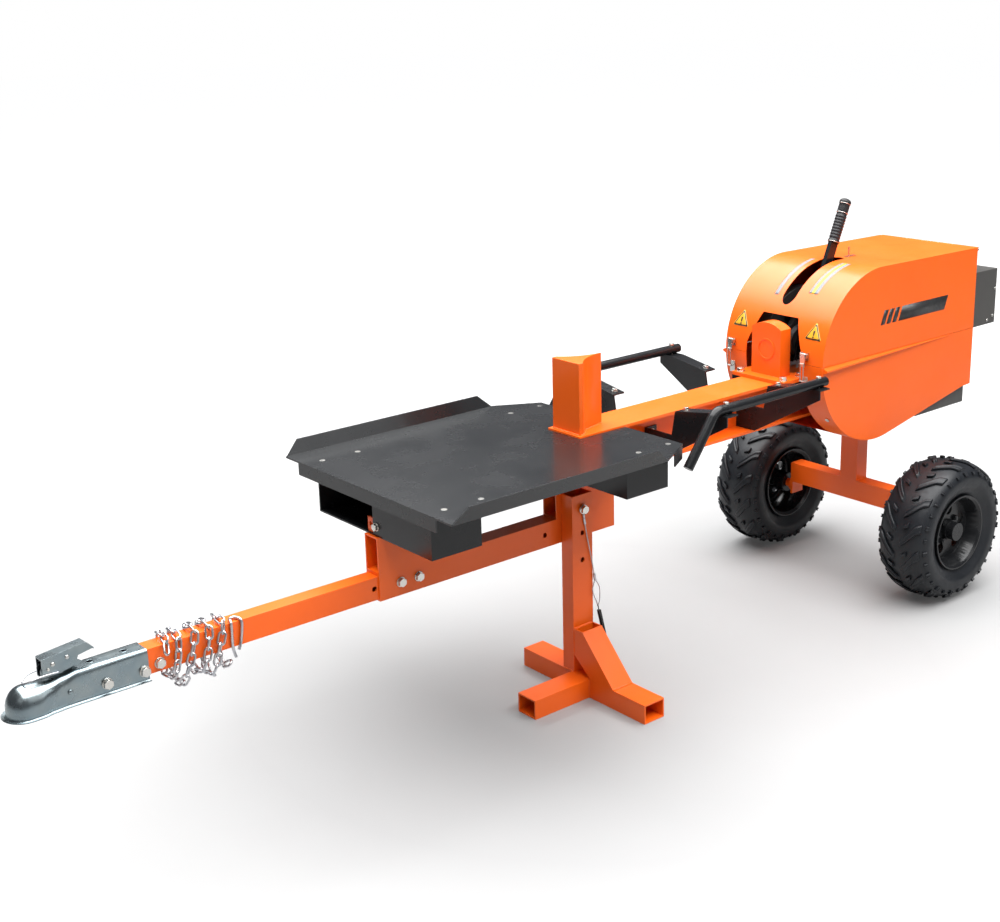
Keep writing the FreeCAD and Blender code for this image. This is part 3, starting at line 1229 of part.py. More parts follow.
def frame_bolts():
    bolts = bracket_bolts() + cradle_bolts() + post_bolts()
    for x in DRAWBAR_BOLT_X:
        bolts.append(bolt((x, -RECEIVER_W / 2, RECEIVER_Z), Y_AXIS, RECEIVER_W, 12))
    return bolts


def coupler_bolts():
    bolts = [bolt((x, -COUPLER_HALF_W, 405), Y_AXIS, 2 * COUPLER_HALF_W, 12) for x in COUPLER_BOLT_X]
    bolts.append(bolt((CHAIN_BOLT_X, -TONGUE_W / 2, RECEIVER_Z - 9), Y_AXIS, TONGUE_W, 12))
    return bolts + [coupler_latch_pin()]


def both_sides(make):
    return [make(side) for side in (-1, 1)]


def main():
    os.makedirs("parts", exist_ok=True)
    write("coupler_body", coupler_body())
    write("coupler_latch_bracket", coupler_latch_bracket())
    write("coupler_latch", coupler_latch_lever())
    write("coupler_bolts", *coupler_bolts())
    write("tongue_tube", tongue_tube())
    write("safety_chain", *safety_chain(), chain_hook())
    write("receiver_tube", receiver_tube())
    write("risers", front_riser(), riser(-58.0, RECEIVER_REAR, [(STAND_X, 0, STAND_PIVOT_Z)]))
    write("frame_bolts", *frame_bolts())
    write("main_beam", main_beam())
    write("wedge", wedge())
    write("work_table", work_table())
    write("table_screws", *table_screws())
    write("front_brackets", *both_sides(front_bracket))
    write("rear_brackets", *both_sides(rear_bracket))
    write("cradle_rails", *both_sides(cradle_rail))
    write("cradle_arms", *[cradle_arm(x, side) for x in CRADLE_ARM_X for side in (-1, 1)])
    write("axle_beam", axle_beam())
    write("axle_post", axle_post())
    for name, side in (("near", -1), ("far", 1)):
        write("tyre_" + name, tyre(side))
        write("rim_" + name, rim(side))
        write("hub_" + name, wheel_hub(side), hub_cap(side), *lug_bolts(side))
        write("flywheel_" + name, flywheel(side))
        write("draw_latch_" + name, latch_lever(LATCH_Y[name]))
    write("lower_housing", lower_housing())
    write("rear_panel", rear_panel())
    write("hinge_pin", hinge_pin())
    write("housing_screws", *housing_screws(), *bearing_bolts(), *box_screws())
    write("rack_cover", rack_cover())
    write("latch_keepers", *[latch_keeper(y) for y in LATCH_Y.values()])
    write("hood", hood())
    write("hood_fittings", hood_pull(), *[latch_base(y) for y in LATCH_Y.values()])
    write("bearing_blocks", *both_sides(bearing_block))
    write("flywheel_shaft", flywheel_shaft())
    write("driven_pulley", pulley(SHAFT_X, SHAFT_Z, DRIVEN_R, 15.1))
    write("motor_pulley", pulley(MOTOR_X, MOTOR_Z, DRIVER_R, 9.1), motor_shaft())
    write("drive_belt", drive_belt())
    write("drive_motor", drive_motor())
    write("motor_mount", motor_mount())
    write("battery_tray", battery_tray())
    write("battery", battery())
    write("power_box", power_box(), power_inlet())
    write("ram_head", ram_head())
    write("ram_keepers", *ram_keepers())
    write("ram_bolts", *ram_bolts())
    write("rack", rack())
    write("lever_bracket", *lever_bracket(), lever_pin())
    write("control_lever", control_lever())
    write("lever_grip", lever_grip())
    write("stand_bolt", stand_bolt())
    write("stand_post", stand_post())
    write("stand_base", stand_base(), stand_brace())
    write("cable_fittings", cable_eyelet(), cable_sleeve())
    write("stand_cable", stand_cable())
    write("stand_spring", stand_spring())


main()
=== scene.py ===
"""Kinetic log splitter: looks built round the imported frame.  Metres, +Z up, tow hitch at -X.

The near side is -Y and the far side is +Y.  CAD nodes with the right shape keep it and get
rounded edges and a material; tyres, chain, coupler, fasteners, grip, spring and cable are
replaced by detailed meshes.
"""
import json
import random
from math import atan2, ceil, copysign, cos, degrees, pi, radians, sin, sqrt

import bmesh
import bpy
from mathutils import Matrix, Vector

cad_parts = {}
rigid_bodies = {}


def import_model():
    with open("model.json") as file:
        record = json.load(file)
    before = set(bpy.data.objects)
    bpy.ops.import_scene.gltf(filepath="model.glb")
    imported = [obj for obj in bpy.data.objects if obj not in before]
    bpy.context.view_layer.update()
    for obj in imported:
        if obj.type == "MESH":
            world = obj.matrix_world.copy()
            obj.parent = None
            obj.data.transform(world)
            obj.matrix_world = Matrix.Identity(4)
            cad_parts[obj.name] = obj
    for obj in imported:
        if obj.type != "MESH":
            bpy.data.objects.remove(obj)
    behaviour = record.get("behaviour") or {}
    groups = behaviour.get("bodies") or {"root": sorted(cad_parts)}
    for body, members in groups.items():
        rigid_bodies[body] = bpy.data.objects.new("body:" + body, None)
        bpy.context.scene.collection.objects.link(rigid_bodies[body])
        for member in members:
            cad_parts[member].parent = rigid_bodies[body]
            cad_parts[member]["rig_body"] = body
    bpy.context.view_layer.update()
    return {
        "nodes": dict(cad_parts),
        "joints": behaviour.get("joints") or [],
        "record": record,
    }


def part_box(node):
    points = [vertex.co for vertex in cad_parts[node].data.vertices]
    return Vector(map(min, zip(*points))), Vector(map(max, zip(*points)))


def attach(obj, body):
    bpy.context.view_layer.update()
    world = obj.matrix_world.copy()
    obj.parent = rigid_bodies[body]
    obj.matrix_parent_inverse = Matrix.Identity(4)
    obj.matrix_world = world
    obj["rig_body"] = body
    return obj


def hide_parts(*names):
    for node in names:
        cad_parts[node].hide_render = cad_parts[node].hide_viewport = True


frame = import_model()
PIVOT = {j["name"]: Vector(j["pos_m"]) for j in frame["joints"] if "pos_m" in j}
SLOTS = {row["node"]: row["material_slot"] for row in frame["record"]["subparts"]}
Y, Z = Vector((0, 1, 0)), Vector((0, 0, 1))
MERGE = 1e-5
replaced = set()
random.seed(7)


# ---- materials
class Shader:
    """Small builder for a node material with object coordinates in metres."""

    def __init__(self, name, color, metallic=0.0, roughness=0.4):
        self.material = bpy.data.materials.new(name)
        self.material.use_nodes = True
        self.tree = self.material.node_tree
        self.bsdf = self.tree.nodes["Principled BSDF"]
        self.put("Base Color", (*color, 1))
        self.put("Metallic", metallic)
        self.put("Roughness", roughness)
        self.material.diffuse_color = (*color, 1)
        self.coords = self.node("ShaderNodeTexCoord").outputs["Object"]

    def node(self, kind, **values):
        made = self.tree.nodes.new(kind)
        for key, value in values.items():
            if key in made.inputs:
                made.inputs[key].default_value = value
            else:
                setattr(made, key, value)
        return made

    def link(self, output, target):
        self.tree.links.new(output, target)

    def noise(self, scale, detail=4.0, stretch=None):
        made = self.node("ShaderNodeTexNoise", Scale=scale, Detail=detail, Roughness=0.6)
        source = self.coords
        if stretch:
            mapping = self.node("ShaderNodeMapping", Scale=stretch)
            self.link(source, mapping.inputs["Vector"])
            source = mapping.outputs["Vector"]
        self.link(source, made.inputs["Vector"])
        return made.outputs["Fac"]

    def ramp(self, value, low, high, color_low, color_high):
        """Colours between two places on a value's range."""
        made = self.node("ShaderNodeValToRGB")
        stops = made.color_ramp.elements
        stops[0].position, stops[1].position = low, high
        stops[0].color, stops[1].color = (*color_low, 1), (*color_high, 1)
        self.link(value, made.inputs["Fac"])
        return made.outputs["Color"]

    def spread(self, value, low, high, out_low, out_high):
        made = self.node("ShaderNodeMapRange")
        ends = {"From Min": low, "From Max": high, "To Min": out_low, "To Max": out_high}
        for key, number in ends.items():
            made.inputs[key].default_value = number
        self.link(value, made.inputs["Value"])
        return made.outputs["Result"]

    def blend(self, factor, first, second):
        """Mix of two colours, each a socket or a tuple."""
        made = self.node("ShaderNodeMix", data_type="RGBA")
        self.link(factor, made.inputs[0])
        for socket, value in ((made.inputs[6], first), (made.inputs[7], second)):
            if isinstance(value, tuple):
                socket.default_value = (*value, 1)
            else:
                self.link(value, socket)
        return made.outputs[2]

    def put(self, name, value):
        self.bsdf.inputs[name].default_value = value

    def color(self, socket):
        self.link(socket, self.bsdf.inputs["Base Color"])

    def mottled(self, scale, dark, light):
        """Two close shades in soft patches."""
        self.color(self.ramp(self.noise(scale), 0.3, 0.7, dark, light))

    def rough(self, value, low, high):
        """Gloss that wanders between two values."""
        self.link(self.spread(value, 0.3, 0.7, low, high), self.bsdf.inputs["Roughness"])

    def bump(self, height, distance, strength):
        made = self.node("ShaderNodeBump", Strength=strength, Distance=distance)
        self.link(height, made.inputs["Height"])
        self.link(made.outputs["Normal"], self.bsdf.inputs["Normal"])

    def coat(self, weight, roughness):
        self.put("Coat Weight", weight)
        self.put("Coat Roughness", roughness)


def times(color, factor):
    return tuple(channel * factor for channel in color)


def powder_coat(name, color, shade, roughness, coat, specular=0.4):
    """Sprayed paint: orange-peel bump, very faint mottling and uneven gloss."""
    s = Shader(name, color, 0.0, roughness)
    mottle = s.blend(s.spread(s.noise(3.5), 0.3, 0.7, 0, 1), color, shade)
    s.color(s.blend(s.spread(s.noise(60.0, 2.0), 0.35, 0.65, 0.0, 0.2), mottle, shade))
    s.rough(s.noise(9.0, 6.0), roughness - 0.06, roughness + 0.10)
    s.bump(s.noise(700.0, 1.0), 0.0001, 0.05)
    s.coat(coat, 0.16)
    s.put("Specular IOR Level", specular)
    return s.material


def handled_steel(name, color, shade, roughness):
    """Black paint that logs have slid on: smudges, dust and long fine scratches."""
    s = Shader(name, color, 0.0, roughness)
    dust = s.spread(s.noise(5.0, 6.0), 0.48, 0.72, 0.0, 0.16)
    base = s.blend(dust, color, shade)
    scratch = s.spread(s.noise(160.0, 2.0, (0.06, 1.0, 1.0)), 0.66, 0.72, 0.0, 0.35)
    s.color(s.blend(scratch, base, times(shade, 2.2)))
    s.rough(s.noise(7.0, 6.0), roughness - 0.03, roughness + 0.06)
    s.bump(s.noise(700.0, 1.0), 0.0001, 0.05)
    s.coat(0.2, 0.12)
    s.put("Specular IOR Level", 0.35)
    return s.material


def plated(name, color, tint, roughness, spangle):
    """Zinc plate: crystal-like patches, a faint tint and uneven gloss."""
    s = Shader(name, color, 1.0, roughness)
    cells = s.node("ShaderNodeTexVoronoi", Scale=spangle)
    s.link(s.coords, cells.inputs["Vector"])
    patches = s.spread(cells.outputs["Distance"], 0.0, 0.7, 0.0, 0.22)
    tinted = s.blend(s.spread(s.noise(18.0), 0.35, 0.65, 0, 1), color, tint)
    s.color(s.blend(patches, tinted, times(color, 0.72)))
    s.rough(s.noise(24.0, 3.0), roughness - 0.04, roughness + 0.06)
    s.bump(s.noise(160.0, 1.0), 0.0001, 0.05)
    return s.material


def brushed(name, color, stretch, roughness):
    """Machined or rolled steel with fine lines one way."""
    s = Shader(name, color, 1.0, roughness)
    lines = s.noise(420.0, 2.0, stretch)
    s.color(s.ramp(lines, 0.3, 0.75, times(color, 0.8), color))
    s.rough(lines, roughness - 0.06, roughness + 0.12)
    s.bump(lines, 0.0001, 0.35)
    return s.material


def cast_iron():
    s = Shader("cast_iron", (0.09, 0.09, 0.095), 0.85, 0.55)
    grain = s.noise(260.0, 6.0)
    s.mottled(12.0, (0.07, 0.07, 0.075), (0.13, 0.125, 0.12))
    s.rough(grain, 0.42, 0.68)
    s.bump(grain, 0.0006, 0.5)
    return s.material


def tyre_rubber():
    """Moulded rubber: near black with a dusty bloom and a fine mould texture."""
    s = Shader("tyre_rubber", (0.014, 0.0155, 0.018), 0.0, 0.5)
    dust = s.spread(s.noise(14.0, 5.0), 0.5, 0.72, 0.0, 0.15)
    s.color(s.blend(dust, (0.0085, 0.0100, 0.0125), (0.035, 0.037, 0.040)))
    s.rough(s.noise(38.0, 5.0), 0.30, 0.50)
    s.bump(s.noise(520.0, 3.0), 0.0003, 0.4)
    s.put("Specular IOR Level", 0.32)
    return s.material


def rubber(name, color, grain):
    s = Shader(name, color, 0.0, 0.6)
    s.mottled(22.0, color, times(color, 1.7))
    s.rough(s.noise(60.0), 0.36, 0.55)
    s.bump(s.noise(grain, 2.0), 0.0002, 0.2)
    s.put("Specular IOR Level", 0.35)
    return s.material


def moulded_plastic(name, color):
    s = Shader(name, color, 0.0, 0.45)
    s.mottled(8.0, color, times(color, 1.35))
    s.rough(s.noise(40.0), 0.36, 0.55)
    s.bump(s.noise(800.0, 1.0), 0.0003, 0.6)
    return s.material


def cast_aluminium():
    s = Shader("cast_aluminium", (0.52, 0.53, 0.55), 1.0, 0.42)
    s.mottled(30.0, (0.42, 0.43, 0.45), (0.58, 0.59, 0.6))
    s.bump(s.noise(500.0, 3.0), 0.0003, 0.5)
    return s.material


def reflective_tape(name, color, line):
    """Glass-bead tape: a fine honeycomb under a clear face."""
    s = Shader(name, color, 0.0, 0.5)
    comb = s.node("ShaderNodeTexVoronoi", Scale=260.0, feature="DISTANCE_TO_EDGE")
    s.link(s.coords, comb.inputs["Vector"])
    edge = s.spread(comb.outputs["Distance"], 0.0, 0.09, 1.0, 0.0)
    s.color(s.blend(edge, color, line))
    s.rough(s.noise(50.0), 0.42, 0.58)
    return s.material


def hole_shade_material():
    """Painted shade: matt black for a hole seen from outside, a thin black disc that stands in for the shadow
    inside it.
    """
    s = Shader("painted_hole_shade", (0.004, 0.004, 0.005), 0.0, 1.0)
    s.mottled(40.0, (0.003, 0.003, 0.004), (0.006, 0.006, 0.007))
    s.put("Specular IOR Level", 0.0)
    return s.material


def printed(name, color, shade):
    """Printed vinyl: slightly uneven ink under a satin face."""
    s = Shader(name, color, 0.0, 0.38)
    s.color(s.blend(s.spread(s.noise(35.0), 0.35, 0.65, 0, 1), color, shade))
    s.rough(s.noise(80.0), 0.3, 0.46)
    s.bump(s.noise(600.0, 1.0), 0.0001, 0.2)
    return s.material


# A slot is shown in the material of the same name, unless a piece names another one.
M = {
    "orange_paint": powder_coat("orange_paint", (0.82, 0.116, 0.005), (0.78, 0.105, 0.005), 0.36, 0.16, 0.3),
    "black_paint": powder_coat("black_paint", (0.0075, 0.008, 0.009), (0.0105, 0.011, 0.012),
                               0.21, 0.10, 0.25),
    "table": handled_steel("table_paint", (0.010, 0.011, 0.012), (0.024, 0.025, 0.026), 0.25),
    "grey_paint": powder_coat("grey_paint", (0.052, 0.050, 0.047), (0.060, 0.058, 0.055), 0.42, 0.15),
    "zinc": plated("zinc_plate", (0.235, 0.290, 0.315), (0.29, 0.330, 0.335), 0.27, 55.0),
    "chain": plated("chain_plate", (0.52, 0.54, 0.58), (0.60, 0.58, 0.58), 0.30, 120.0),
    "bolt_steel": plated("bolt_plate", (0.62, 0.62, 0.60), (0.70, 0.68, 0.62), 0.27, 300.0),
    "machined_steel": brushed("machined_steel", (0.46, 0.46, 0.47), (0.05, 1.0, 1.0), 0.30),
    "cast_iron": cast_iron(),
    "aluminium": cast_aluminium(),
    "tyre_rubber": tyre_rubber(),
    "black_rubber": rubber("black_rubber", (0.010, 0.010, 0.011), 700.0),
    "black_plastic": moulded_plastic("black_plastic", (0.018, 0.018, 0.020)),
    "tape": reflective_tape("reflective_tape", (0.19, 0.20, 0.21), (0.08, 0.085, 0.09)),
    "tape_yellow": reflective_tape("reflective_yellow", (0.42, 0.36, 0.03), (0.25, 0.20, 0.02)),
    "ink_yellow": printed("hazard_yellow", (0.70, 0.36, 0.02), (0.62, 0.32, 0.02)),
    "ink_black": printed("hazard_black", (0.012, 0.012, 0.013), (0.022, 0.022, 0.022)),
    # Painted shade: the hole material is a matt black disc that stands in for the shadow inside a hole.
    "hole": hole_shade_material(),
}


# ---- mesh helpers
def body_of(node):
    """Name of the CAD body that holds a node."""
    return frame["nodes"][node]["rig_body"]


def weighted_normals(piece):
    piece.modifiers.new("normals", "WEIGHTED_NORMAL").keep_sharp = True


def round_edges(piece, width, angle=35.0, segments=2):
    bevel = piece.modifiers.new("bevel", "BEVEL")
    bevel.width = width
    bevel.segments = segments
    bevel.limit_method = "ANGLE"
    bevel.angle_limit = radians(angle)
    bevel.use_clamp_overlap = True
    weighted_normals(piece)


def add_object(name, data):
    made = bpy.data.objects.new(name, data)
    bpy.context.scene.collection.objects.link(made)
    return made


def add_piece(name, bm, body, slot, material=None, stands_for=()):
    """Closes a bmesh into a named piece that rides on a body."""
    bmesh.ops.recalc_face_normals(bm, faces=bm.faces)
    mesh = bpy.data.meshes.new(name)
    bm.to_mesh(mesh)
    bm.free()
    for face in mesh.polygons:
        face.use_smooth = True
    piece = add_object(name, mesh)
    mesh.materials.append(M[material or slot])
    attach(piece, body)
    if stands_for:
        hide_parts(*stands_for)
        replaced.update(stands_for)
    return piece


def islands(node):
    """The separate solids of a CAD node, each as a list of its corner points."""
    bm = bmesh.new()
    bm.from_mesh(frame["nodes"][node].data)
    bmesh.ops.remove_doubles(bm, verts=bm.verts, dist=MERGE)
    left, found = set(bm.verts), []
    while left:
        waiting = [min(left, key=lambda v: v.index)]
        left.discard(waiting[0])
        points = []
        while waiting:
            vert = waiting.pop()
            points.append(vert.co.copy())
            for edge in vert.link_edges:
                other = edge.other_vert(vert)
                if other in left:
                    left.discard(other)
                    waiting.append(other)
        found.append(points)
    bm.free()
    return found


def ring(bm, points):
    return [bm.verts.new(point) for point in points]


def full_turn(steps):
    """Angles that go once round in even steps."""
    return [2 * pi * step / steps for step in range(steps)]


def round_point(radius, turn, height):
    """Point at a distance from the Z axis, by its angle."""
    return Vector((radius * cos(turn), radius * sin(turn), height))


def turned(side, other, turn):
    """Direction at an angle from one unit vector towards another."""
    return side * cos(turn) + other * sin(turn)


def across_axes(line):
    """Two unit vectors square to a line and to each other."""
    side = line.orthogonal().normalized()
    return side, line.cross(side)


def corners(points):
    low = Vector([min(p[i] for p in points) for i in range(3)])
    high = Vector([max(p[i] for p in points) for i in range(3)])
    return low, high


def lathe(bm, profile, place, segments, closed=False):
    """Turns (radius, height) points about a local Z axis; place moves the result."""
    rings, turns = [], full_turn(segments)
    for radius, height in profile:
        if radius < 1e-7:
            rings.append(ring(bm, [place @ Vector((0, 0, height))]))
            continue
        rings.append(ring(bm, [place @ round_point(radius, turn, height) for turn in turns]))
    pairs = list(zip(rings, rings[1:]))
    if closed:
        pairs.append((rings[-1], rings[0]))
    for a, b in pairs:
        for step in range(segments):
            nxt = (step + 1) % segments
            if len(a) == 1 and len(b) > 1:
                bm.faces.new((a[0], b[step], b[nxt]))
            elif len(b) == 1 and len(a) > 1:
                bm.faces.new((a[step], b[0], a[nxt]))
            elif len(a) > 1:
                bm.faces.new((a[step], b[step], b[nxt], a[nxt]))


def axis_place(origin, axis):
    """Matrix that puts local Z along an axis at an origin."""
    return Matrix.Translation(origin) @ Vector(axis).to_track_quat("Z", "Y").to_matrix().to_4x4()


def grid_faces(bm, rows, wrap_columns=False):
    """Quads between rows of verts."""
    for a, b in zip(rows, rows[1:]):
        count = len(a) if wrap_columns else len(a) - 1
        for i in range(count):
            j = (i + 1) % len(a)
            bm.faces.new((a[i], b[i], b[j], a[j]))


def tube(bm, points, radius, sides, closed=False, taper=None):
    """Round tube along points, with frames carried along so that it doesn't twist."""
    count = len(points)
    tangents = []
    for i in range(count):
        ahead = points[(i + 1) % count] if closed or i < count - 1 else points[i]
        behind = points[i - 1] if closed or i > 0 else points[i]
        tangents.append((ahead - behind).normalized())
    side = tangents[0].orthogonal().normalized()
    rows = []
    for i, point in enumerate(points):
        side = (side - tangents[i] * side.dot(tangents[i])).normalized()
        other = tangents[i].cross(side)
        size = radius * (taper(i / (count - 1)) if taper else 1.0)
        rows.append(ring(bm, [point + turned(side, other, turn) * size for turn in full_turn(sides)]))
    if closed:
        best = min(range(sides), key=lambda k: (rows[0][k].co - rows[-1][0].co).length)
        rows.append(rows[0][best:] + rows[0][:best])
    grid_faces(bm, rows, wrap_columns=True)
    if closed:
        return
    bm.faces.new(list(reversed(rows[0])))
    bm.faces.new(rows[-1])


def smooth_path(points, steps=8, closed=False):
    """Catmull-Rom line through given points."""
    points = [Vector(p) for p in points]
    count = len(points)
    spans = count if closed else count - 1
    line = []
    for i in range(spans):
        near = (i - 1, i, i + 1, i + 2)
        a, b, c, d = (points[k % count if closed else min(max(k, 0), count - 1)] for k in near)
        for step in range(steps):
            t = step / steps
            line.append(0.5 * (2 * b + (c - a) * t + (2 * a - 5 * b + 4 * c - d) * t ** 2
                               + (3 * b - a - 3 * c + d) * t ** 3))
    if not closed:
        line.append(points[-1])
    return line


# ---- CAD nodes that keep their shape
def finish_node(name, bevel):
    """Gives a CAD node its material, rounded edges and smooth shading."""
    node = frame["nodes"][name]
    mesh = node.data
    for attribute in ("custom_normal", "sharp_edge", "sharp_face"):
        if attribute in mesh.attributes:
            mesh.attributes.remove(mesh.attributes[attribute])
    mesh.materials.clear()
    mesh.materials.append(M["table" if name == "work_table" else SLOTS[name]])
    for face in mesh.polygons:
        face.use_smooth = True
        face.material_index = 0
    node.modifiers.new("weld", "WELD").merge_threshold = MERGE
    flat = node.modifiers.new("flat", "DECIMATE")
    flat.decimate_type = "DISSOLVE"
    flat.angle_limit = radians(0.6)
    round_edges(node, bevel)


BEVEL = 0.001
BEVELS = {
    0.0004: ("draw_latch_near", "draw_latch_far"),
    0.0005: ("rack", "table_screws"),
    0.0006: ("coupler_latch_bracket", "hinge_pin", "latch_keepers", "hood_fittings", "flywheel_shaft"),
    0.0008: ("lower_housing", "rear_panel", "hood", "motor_pulley"),
    0.0009: ("coupler_latch",),
    0.0012: ("wedge", "front_brackets", "rear_brackets", "cradle_rails", "hub_near", "hub_far",
             "housing_screws"),
    0.0014: ("main_beam",),
    0.0015: ("flywheel_near", "flywheel_far", "power_box", "control_lever"),
    0.0016: ("work_table",),
    0.002: ("bearing_blocks", "ram_head"),
    0.0025: ("axle_post",),
    0.0028: ("tongue_tube", "stand_base"),
    0.003: ("receiver_tube", "risers", "axle_beam", "stand_post"),
    0.004: ("battery",),
}


# ---- fasteners
def hex_body(bm, place, across_flats, low, high, chamfer_low, chamfer_high):
    """Hexagon with its corners turned off in a shallow cone at the chosen ends."""
    corner = across_flats / sqrt(3)
    end_radius = across_flats / 2 * 0.97
    drop = (corner - across_flats / 2) * 0.62
    levels = [(low + drop if chamfer_low else low, corner), (high - drop if chamfer_high else high, corner)]
    if chamfer_low:
        levels.insert(0, (low, end_radius))
    if chamfer_high:
        levels.append((high, end_radius))
    rows = []
    for height, limit in levels:
        row = []
        for turn in full_turn(36):
            inside = (turn + pi / 6) % (pi / 3) - pi / 6
            reach = min(across_flats / 2 / cos(inside), limit)
            row.append(place @ round_point(reach, turn, height))
        rows.append(ring(bm, row))
    grid_faces(bm, rows, wrap_columns=True)
    bm.faces.new(rows[0])
    bm.faces.new(rows[-1])


def thread(bm, place, radius, low, high, pitch=0.0015):
    """Screw end: fine ridges and a chamfered tip."""
    profile = [(0, low), (radius * 0.9, low)]
    height = low
    while height < high - radius * 0.35:
        profile += [(radius, height + pitch * 0.35), (radius, height + pitch * 0.5)]
        profile.append((radius * 0.9, height + pitch))
        height += pitch
    profile += [(radius * 0.72, high), (0, high)]
    lathe(bm, profile, place, 28)


def washer(bm, place, outer, inner, low, thick):
    edge = thick * 0.25
    profile = [(inner, low), (outer - edge, low), (outer, low + edge), (outer, low + thick - edge),
               (outer - edge, low + thick), (inner, low + thick)]
    lathe(bm, profile, place, 36, closed=True)


def detailed_bolt(bm, points):
    """Head, washers, threaded end and nut where one plain CAD bolt lies."""
    low, high = corners(points)
    size = high - low
    axis_index = max(range(3), key=lambda i: size[i])
    axis = Vector([1.0 if i == axis_index else 0.0 for i in range(3)])
    centre = (low + high) / 2
    length = size[axis_index]

    def off_axis(point):
        return (point - centre - axis * (point - centre).dot(axis)).length

    def reach(end):
        return max(off_axis(p) for p in points if abs(p[axis_index] - end) < 3e-4)

    ends = (low[axis_index], high[axis_index])
    head, tip = ends if reach(ends[0]) > reach(ends[1]) else (ends[1], ends[0])
    direction = axis if tip > head else -axis
    origin = centre.copy()
    origin[axis_index] = head
    place = axis_place(origin, direction)
    shank = reach(tip)
    if reach(head) < shank * 1.2:
        profile = [(0, 0), (shank * 0.8, 0), (shank, 0.0006), (shank, length - 0.0006),
                   (shank * 0.8, length), (0, length)]
        lathe(bm, profile, place, 24)
        return
    diameter = shank * 2
    widest = max(off_axis(p) for p in points)
    lift = 0.002 if widest > diameter * 0.96 else 0.0
    head_h, nut_h, flats = diameter * 0.65, diameter * 0.8, diameter * 1.6
    grip_end = length - 0.2 * diameter - nut_h
    hex_body(bm, place, flats, 0, head_h, True, False)
    lathe(bm, [(0, -0.0001), (diameter * 0.42, -0.0001), (diameter * 0.40, 0.0004), (0, 0.0004)], place, 24)
    if lift:
        washer(bm, place, diameter, shank * 0.9, head_h, lift)
        washer(bm, place, diameter, shank * 0.9, grip_end - lift, lift)
    lathe(bm, [(0, head_h - 0.0005), (shank, head_h - 0.0005), (shank, grip_end), (0, grip_end)], place, 24)
    hex_body(bm, place, flats, grip_end, grip_end + nut_h, True, True)
    thread(bm, place, shank, grip_end + nut_h - 0.001, length)


def make_bolts(node):
    """Detailed fasteners in place of every plain bolt of a node."""
    bm = bmesh.new()
    for points in islands(node):
        detailed_bolt(bm, points)
    piece = add_piece(node + "_detail", bm, body_of(node), "bolt_steel", stands_for=[node])
    round_edges(piece, 0.0003, 40.0, 1)


def make_arm_bolts():
    """Hexagon bolt and nut through the sloping end of each cradle arm's flange."""
    bm = bmesh.new()
    slope = atan2(0.020, 0.120)
    for points in islands("cradle_arms"):
        low, high = corners(points)
        side = copysign(1, low.y + high.y)
        at = (low.x + 0.022, side * 0.130, high.z - 0.017)
        place = Matrix.Translation(at) @ Matrix.Rotation(side * slope, 4, "X")
        washer(bm, place, 0.0082, 0.0036, 0.0, 0.0014)
        hex_body(bm, place, 0.013, 0.0014, 0.0068, False, True)
        hex_body(bm, place, 0.013, -0.0108, -0.0040, True, True)
        thread(bm, place @ Matrix.Rotation(pi, 4, "X"), 0.004, 0.0100, 0.0150)
    piece = add_piece("arm_bolts", bm, "frame", "bolt_steel")
    round_edges(piece, 0.0003, 40.0, 1)


# ---- tyres
TREAD_DEPTH = 0.0066
TREAD_PITCHES = 15
# Path as (theta, around) in degrees, widths along it, share of the tread's depth, and groove.
TREAD_BLOCKS = (
    (((0, 3), (6, 16), (14, 34), (17, 52)), (2.9, 3.8, 4.6, 4.6), 1.0, 0.25),
    (((14.5, 7), (17.5, 19)), (1.7, 2.3), 1.0, 0.0),
    (((18, 60), (18.4, 76)), (2.6, 1.9), 0.75, 0.3),
    (((6.4, 62), (6.6, 74)), (1.8, 1.5), 0.7, 0.3),
)


class TyreShape:
    """Surface of one tyre: a round-shouldered carcass about the wheel's axis."""

    def __init__(self, joint, node):
        low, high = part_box(node)
        self.centre = Vector(PIVOT[joint])
        self.centre.y = (low.y + high.y) / 2
        self.radius = (high.z - low.z) / 2
        self.half_w = (high.y - low.y) / 2
        self.mid = self.radius * 0.75

    def section(self, around):
        """(across, radius) on the carcass; around is 0 at the crown and +-90 degrees at the widest."""
        def squared(value):
            return copysign(abs(value) ** (2 / 2.5), value)

        turn = radians(around)
        rise = (self.radius - TREAD_DEPTH - self.mid) * squared(cos(turn))
        return self.half_w * squared(sin(turn)), self.mid + rise

    def point(self, theta, around, lift=0.0):
        """Point on the tyre: theta runs round the wheel from its front, over the top."""
        across, rise = self.section(around)
        if lift:
            a0, r0 = self.section(around - 0.5)
            a1, r1 = self.section(around + 0.5)
            run = Vector((a1 - a0, r1 - r0)).normalized()
            across, rise = across - run.y * lift, rise + run.x * lift
        turn = radians(theta)
        return self.centre + Vector((-rise * cos(turn), across, rise * sin(turn)))


def carcass(bm, shape, rim_radius):
    """Tyre wall from bead to bead, with two moulded rings on each side, and its inner face."""
    profile = []
    for step in range(37):
        around = -118 + 236 * step / 36
        across, rise = shape.section(around)
        side = abs(around)
        if 84 < side < 90 or 98 < side < 103:
            across += copysign(0.0012, across)
        profile.append((across, rise))
    last_across, last_rise = profile[-1]
    bead = [(last_across - 0.004, (last_rise + rim_radius) / 2 + 0.004)]
    for inward, rise in ((0.009, 0.010), (0.011, 0.003), (0.016, 0.0004), (0.027, 0.0004), (0.028, 0.010)):
        bead.append((last_across - inward, rim_radius + rise))
    inner = []
    for step in range(11):
        turn = radians(-30 + 240 * step / 10)
        inner.append((0.064 * cos(turn), shape.mid - 0.002 + 0.036 * sin(turn)))
    outline = profile + bead + inner + [(-a, r) for a, r in reversed(bead)]
    place = axis_place(shape.centre, Y)
    lathe(bm, [(rise, across) for across, rise in outline], place, 144, closed=True)


def between(values, share):
    """Value at a share of the way along a list."""
    spot = share * (len(values) - 1)
    i = min(int(spot), len(values) - 2)
    return values[i] + (values[i + 1] - values[i]) * (spot - i)


